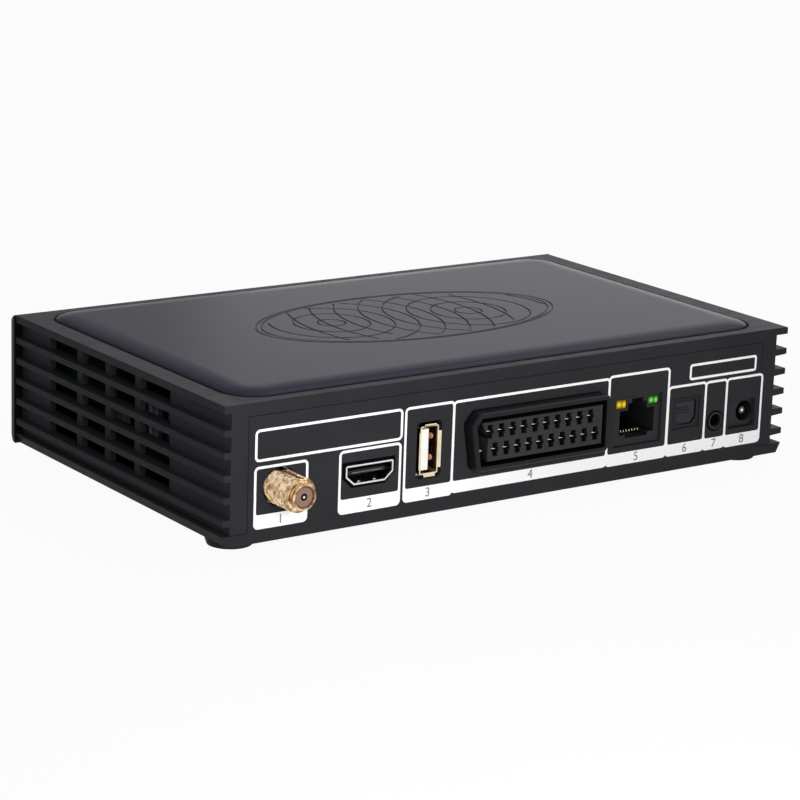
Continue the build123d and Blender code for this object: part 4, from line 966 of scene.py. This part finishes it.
# ---------------------------------------------------------------- round sockets, millimetres
jack_face = rear_end("serial_jack")
jack_face.y = rear_y
collar_radius, collar_along, collar_thickness, collar_facets = 2.25, 0.05, 0.3, 10
collar = [(collar_radius + collar_thickness * math.cos(2 * math.pi * k / collar_facets),
           collar_along + collar_thickness * math.sin(2 * math.pi * k / collar_facets))
          for k in range(collar_facets)]
add_turned("serial_jack_collar", jack_face, collar, dark_plastic)
# A black ring of painted shade round the jack's collar.
add_washer("serial_jack_shade", jack_face, inner=2.5, outer=3.05, back=0.0, front=0.012)

pin_radius, pin_dome, pin_back, pin_bore = 0.62, 0.45, -0.2, 0.02
dome = [(pin_radius * math.cos(math.radians(15 * k)), pin_dome * math.sin(math.radians(15 * k)))
        for k in range(6)]
tip = [(pin_bore, pin_back), (pin_radius, pin_back)] + dome + [(pin_bore, pin_dome)]
add_turned("power_pin_tip", rear_end("power_pin"), tip, bright_nickel, around=24)

# ---------------------------------------------------------------- the front panel's softened outline
bezel_weld = nodes["front_bezel"].modifiers.new("weld", "WELD")
bezel_weld.merge_threshold = 0.001 * MM
bezel_edges = nodes["front_bezel"].modifiers.new("softened", "BEVEL")
bezel_edges.width = 0.9 * MM
bezel_edges.segments = 3
bezel_edges.limit_method = "ANGLE"
bezel_edges.angle_limit = math.radians(60)

# ---------------------------------------------------------------- floor, light and surroundings
floor_half = 12.0
floor_grey = 0.5
floor_white = 0.95           # share of plain white that the camera sees in place of the lit floor
world_soft = 0.3             # strength of the world as a light
world_seen = 1.0             # strength of the world where it is looked at


def seen_directly(tree):
    """One for camera, glossy and transmission rays, and zero for the rest."""
    light = tree.nodes.new("ShaderNodeLightPath")
    total = light.outputs["Is Camera Ray"]
    for kind in ("Is Glossy Ray", "Is Transmission Ray"):
        total = larger_of(tree, total, light.outputs[kind])
    return total


def mix_shaders(tree, factor, first, second, output_kind):
    """Puts a mix of two shaders on the output of a node tree."""
    mix = tree.nodes.new("ShaderNodeMixShader")
    output = tree.nodes.new(output_kind)
    tree.links.new(factor, mix.inputs["Fac"])
    tree.links.new(first.outputs[0], mix.inputs[1])
    tree.links.new(second.outputs[0], mix.inputs[2])
    tree.links.new(mix.outputs[0], output.inputs["Surface"])


def build_floor():
    """A wide pale floor that keeps the object's shadow and shows white to the camera."""
    mesh = bpy.data.meshes.new("floor")
    mesh.from_pydata([(x * floor_half, y * floor_half, 0) for x, y in ((-1, -1), (1, -1), (1, 1), (-1, 1))],
                     [], [(0, 1, 2, 3)])
    material = bpy.data.materials.new("floor")
    material.use_nodes = True
    tree = material.node_tree
    tree.nodes.clear()
    diffuse = tree.nodes.new("ShaderNodeBsdfDiffuse")
    diffuse.inputs["Color"].default_value = (floor_grey, floor_grey, floor_grey, 1)
    white = tree.nodes.new("ShaderNodeEmission")
    share = tree.nodes.new("ShaderNodeMath")
    share.operation = "MULTIPLY"
    share.inputs[1].default_value = floor_white
    tree.links.new(seen_directly(tree), share.inputs[0])
    mix_shaders(tree, share.outputs[0], diffuse, white, "ShaderNodeOutputMaterial")
    mesh.materials.append(material)
    floor = bpy.data.objects.new("floor", mesh)
    scene.collection.objects.link(floor)
    floor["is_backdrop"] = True


def build_world():
    """White where the camera, mirrors or glass look at it, and a soft grey light everywhere else."""
    world = bpy.data.worlds.new("world")
    scene.world = world
    world.use_nodes = True
    tree = world.node_tree
    tree.nodes.clear()
    lights = []
    for strength in (world_soft, world_seen):
        light = tree.nodes.new("ShaderNodeBackground")
        light.inputs["Color"].default_value = (1, 1, 1, 1)
        light.inputs["Strength"].default_value = strength
        lights.append(light)
    mix_shaders(tree, seen_directly(tree), *lights, "ShaderNodeOutputWorld")


def add_softbox(name, place, target, width, height, power, mirrored=True):
    """A rectangular area lamp aimed at a point. mirrored says whether gloss shows its outline."""
    data = bpy.data.lights.new(name, "AREA")
    data.shape = "RECTANGLE"
    data.size = width
    data.size_y = height
    data.energy = power
    box = bpy.data.objects.new(name, data)
    scene.collection.objects.link(box)
    box.location = place
    box.rotation_euler = (Vector(target) - Vector(place)).to_track_quat("-Z", "Y").to_euler()
    box.visible_glossy = mirrored


build_floor()
build_world()
add_softbox("key", place=(-1.1, -0.4, 1.5), target=(0, 0, 0), width=1.2, height=1.2, power=18)
add_softbox("rear_fill", place=(0.13, 0.32, 0.09), target=(0.09, 0.05, 0.015), width=0.22, height=0.14,
            power=0.8, mirrored=False)
# The lid mirrors this one, which gives it its gradient.
add_softbox("front_fill", place=(-1.25, -1.15, 0.45), target=(0, 0, 0), width=1.1, height=0.9, power=3.0)

low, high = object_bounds()
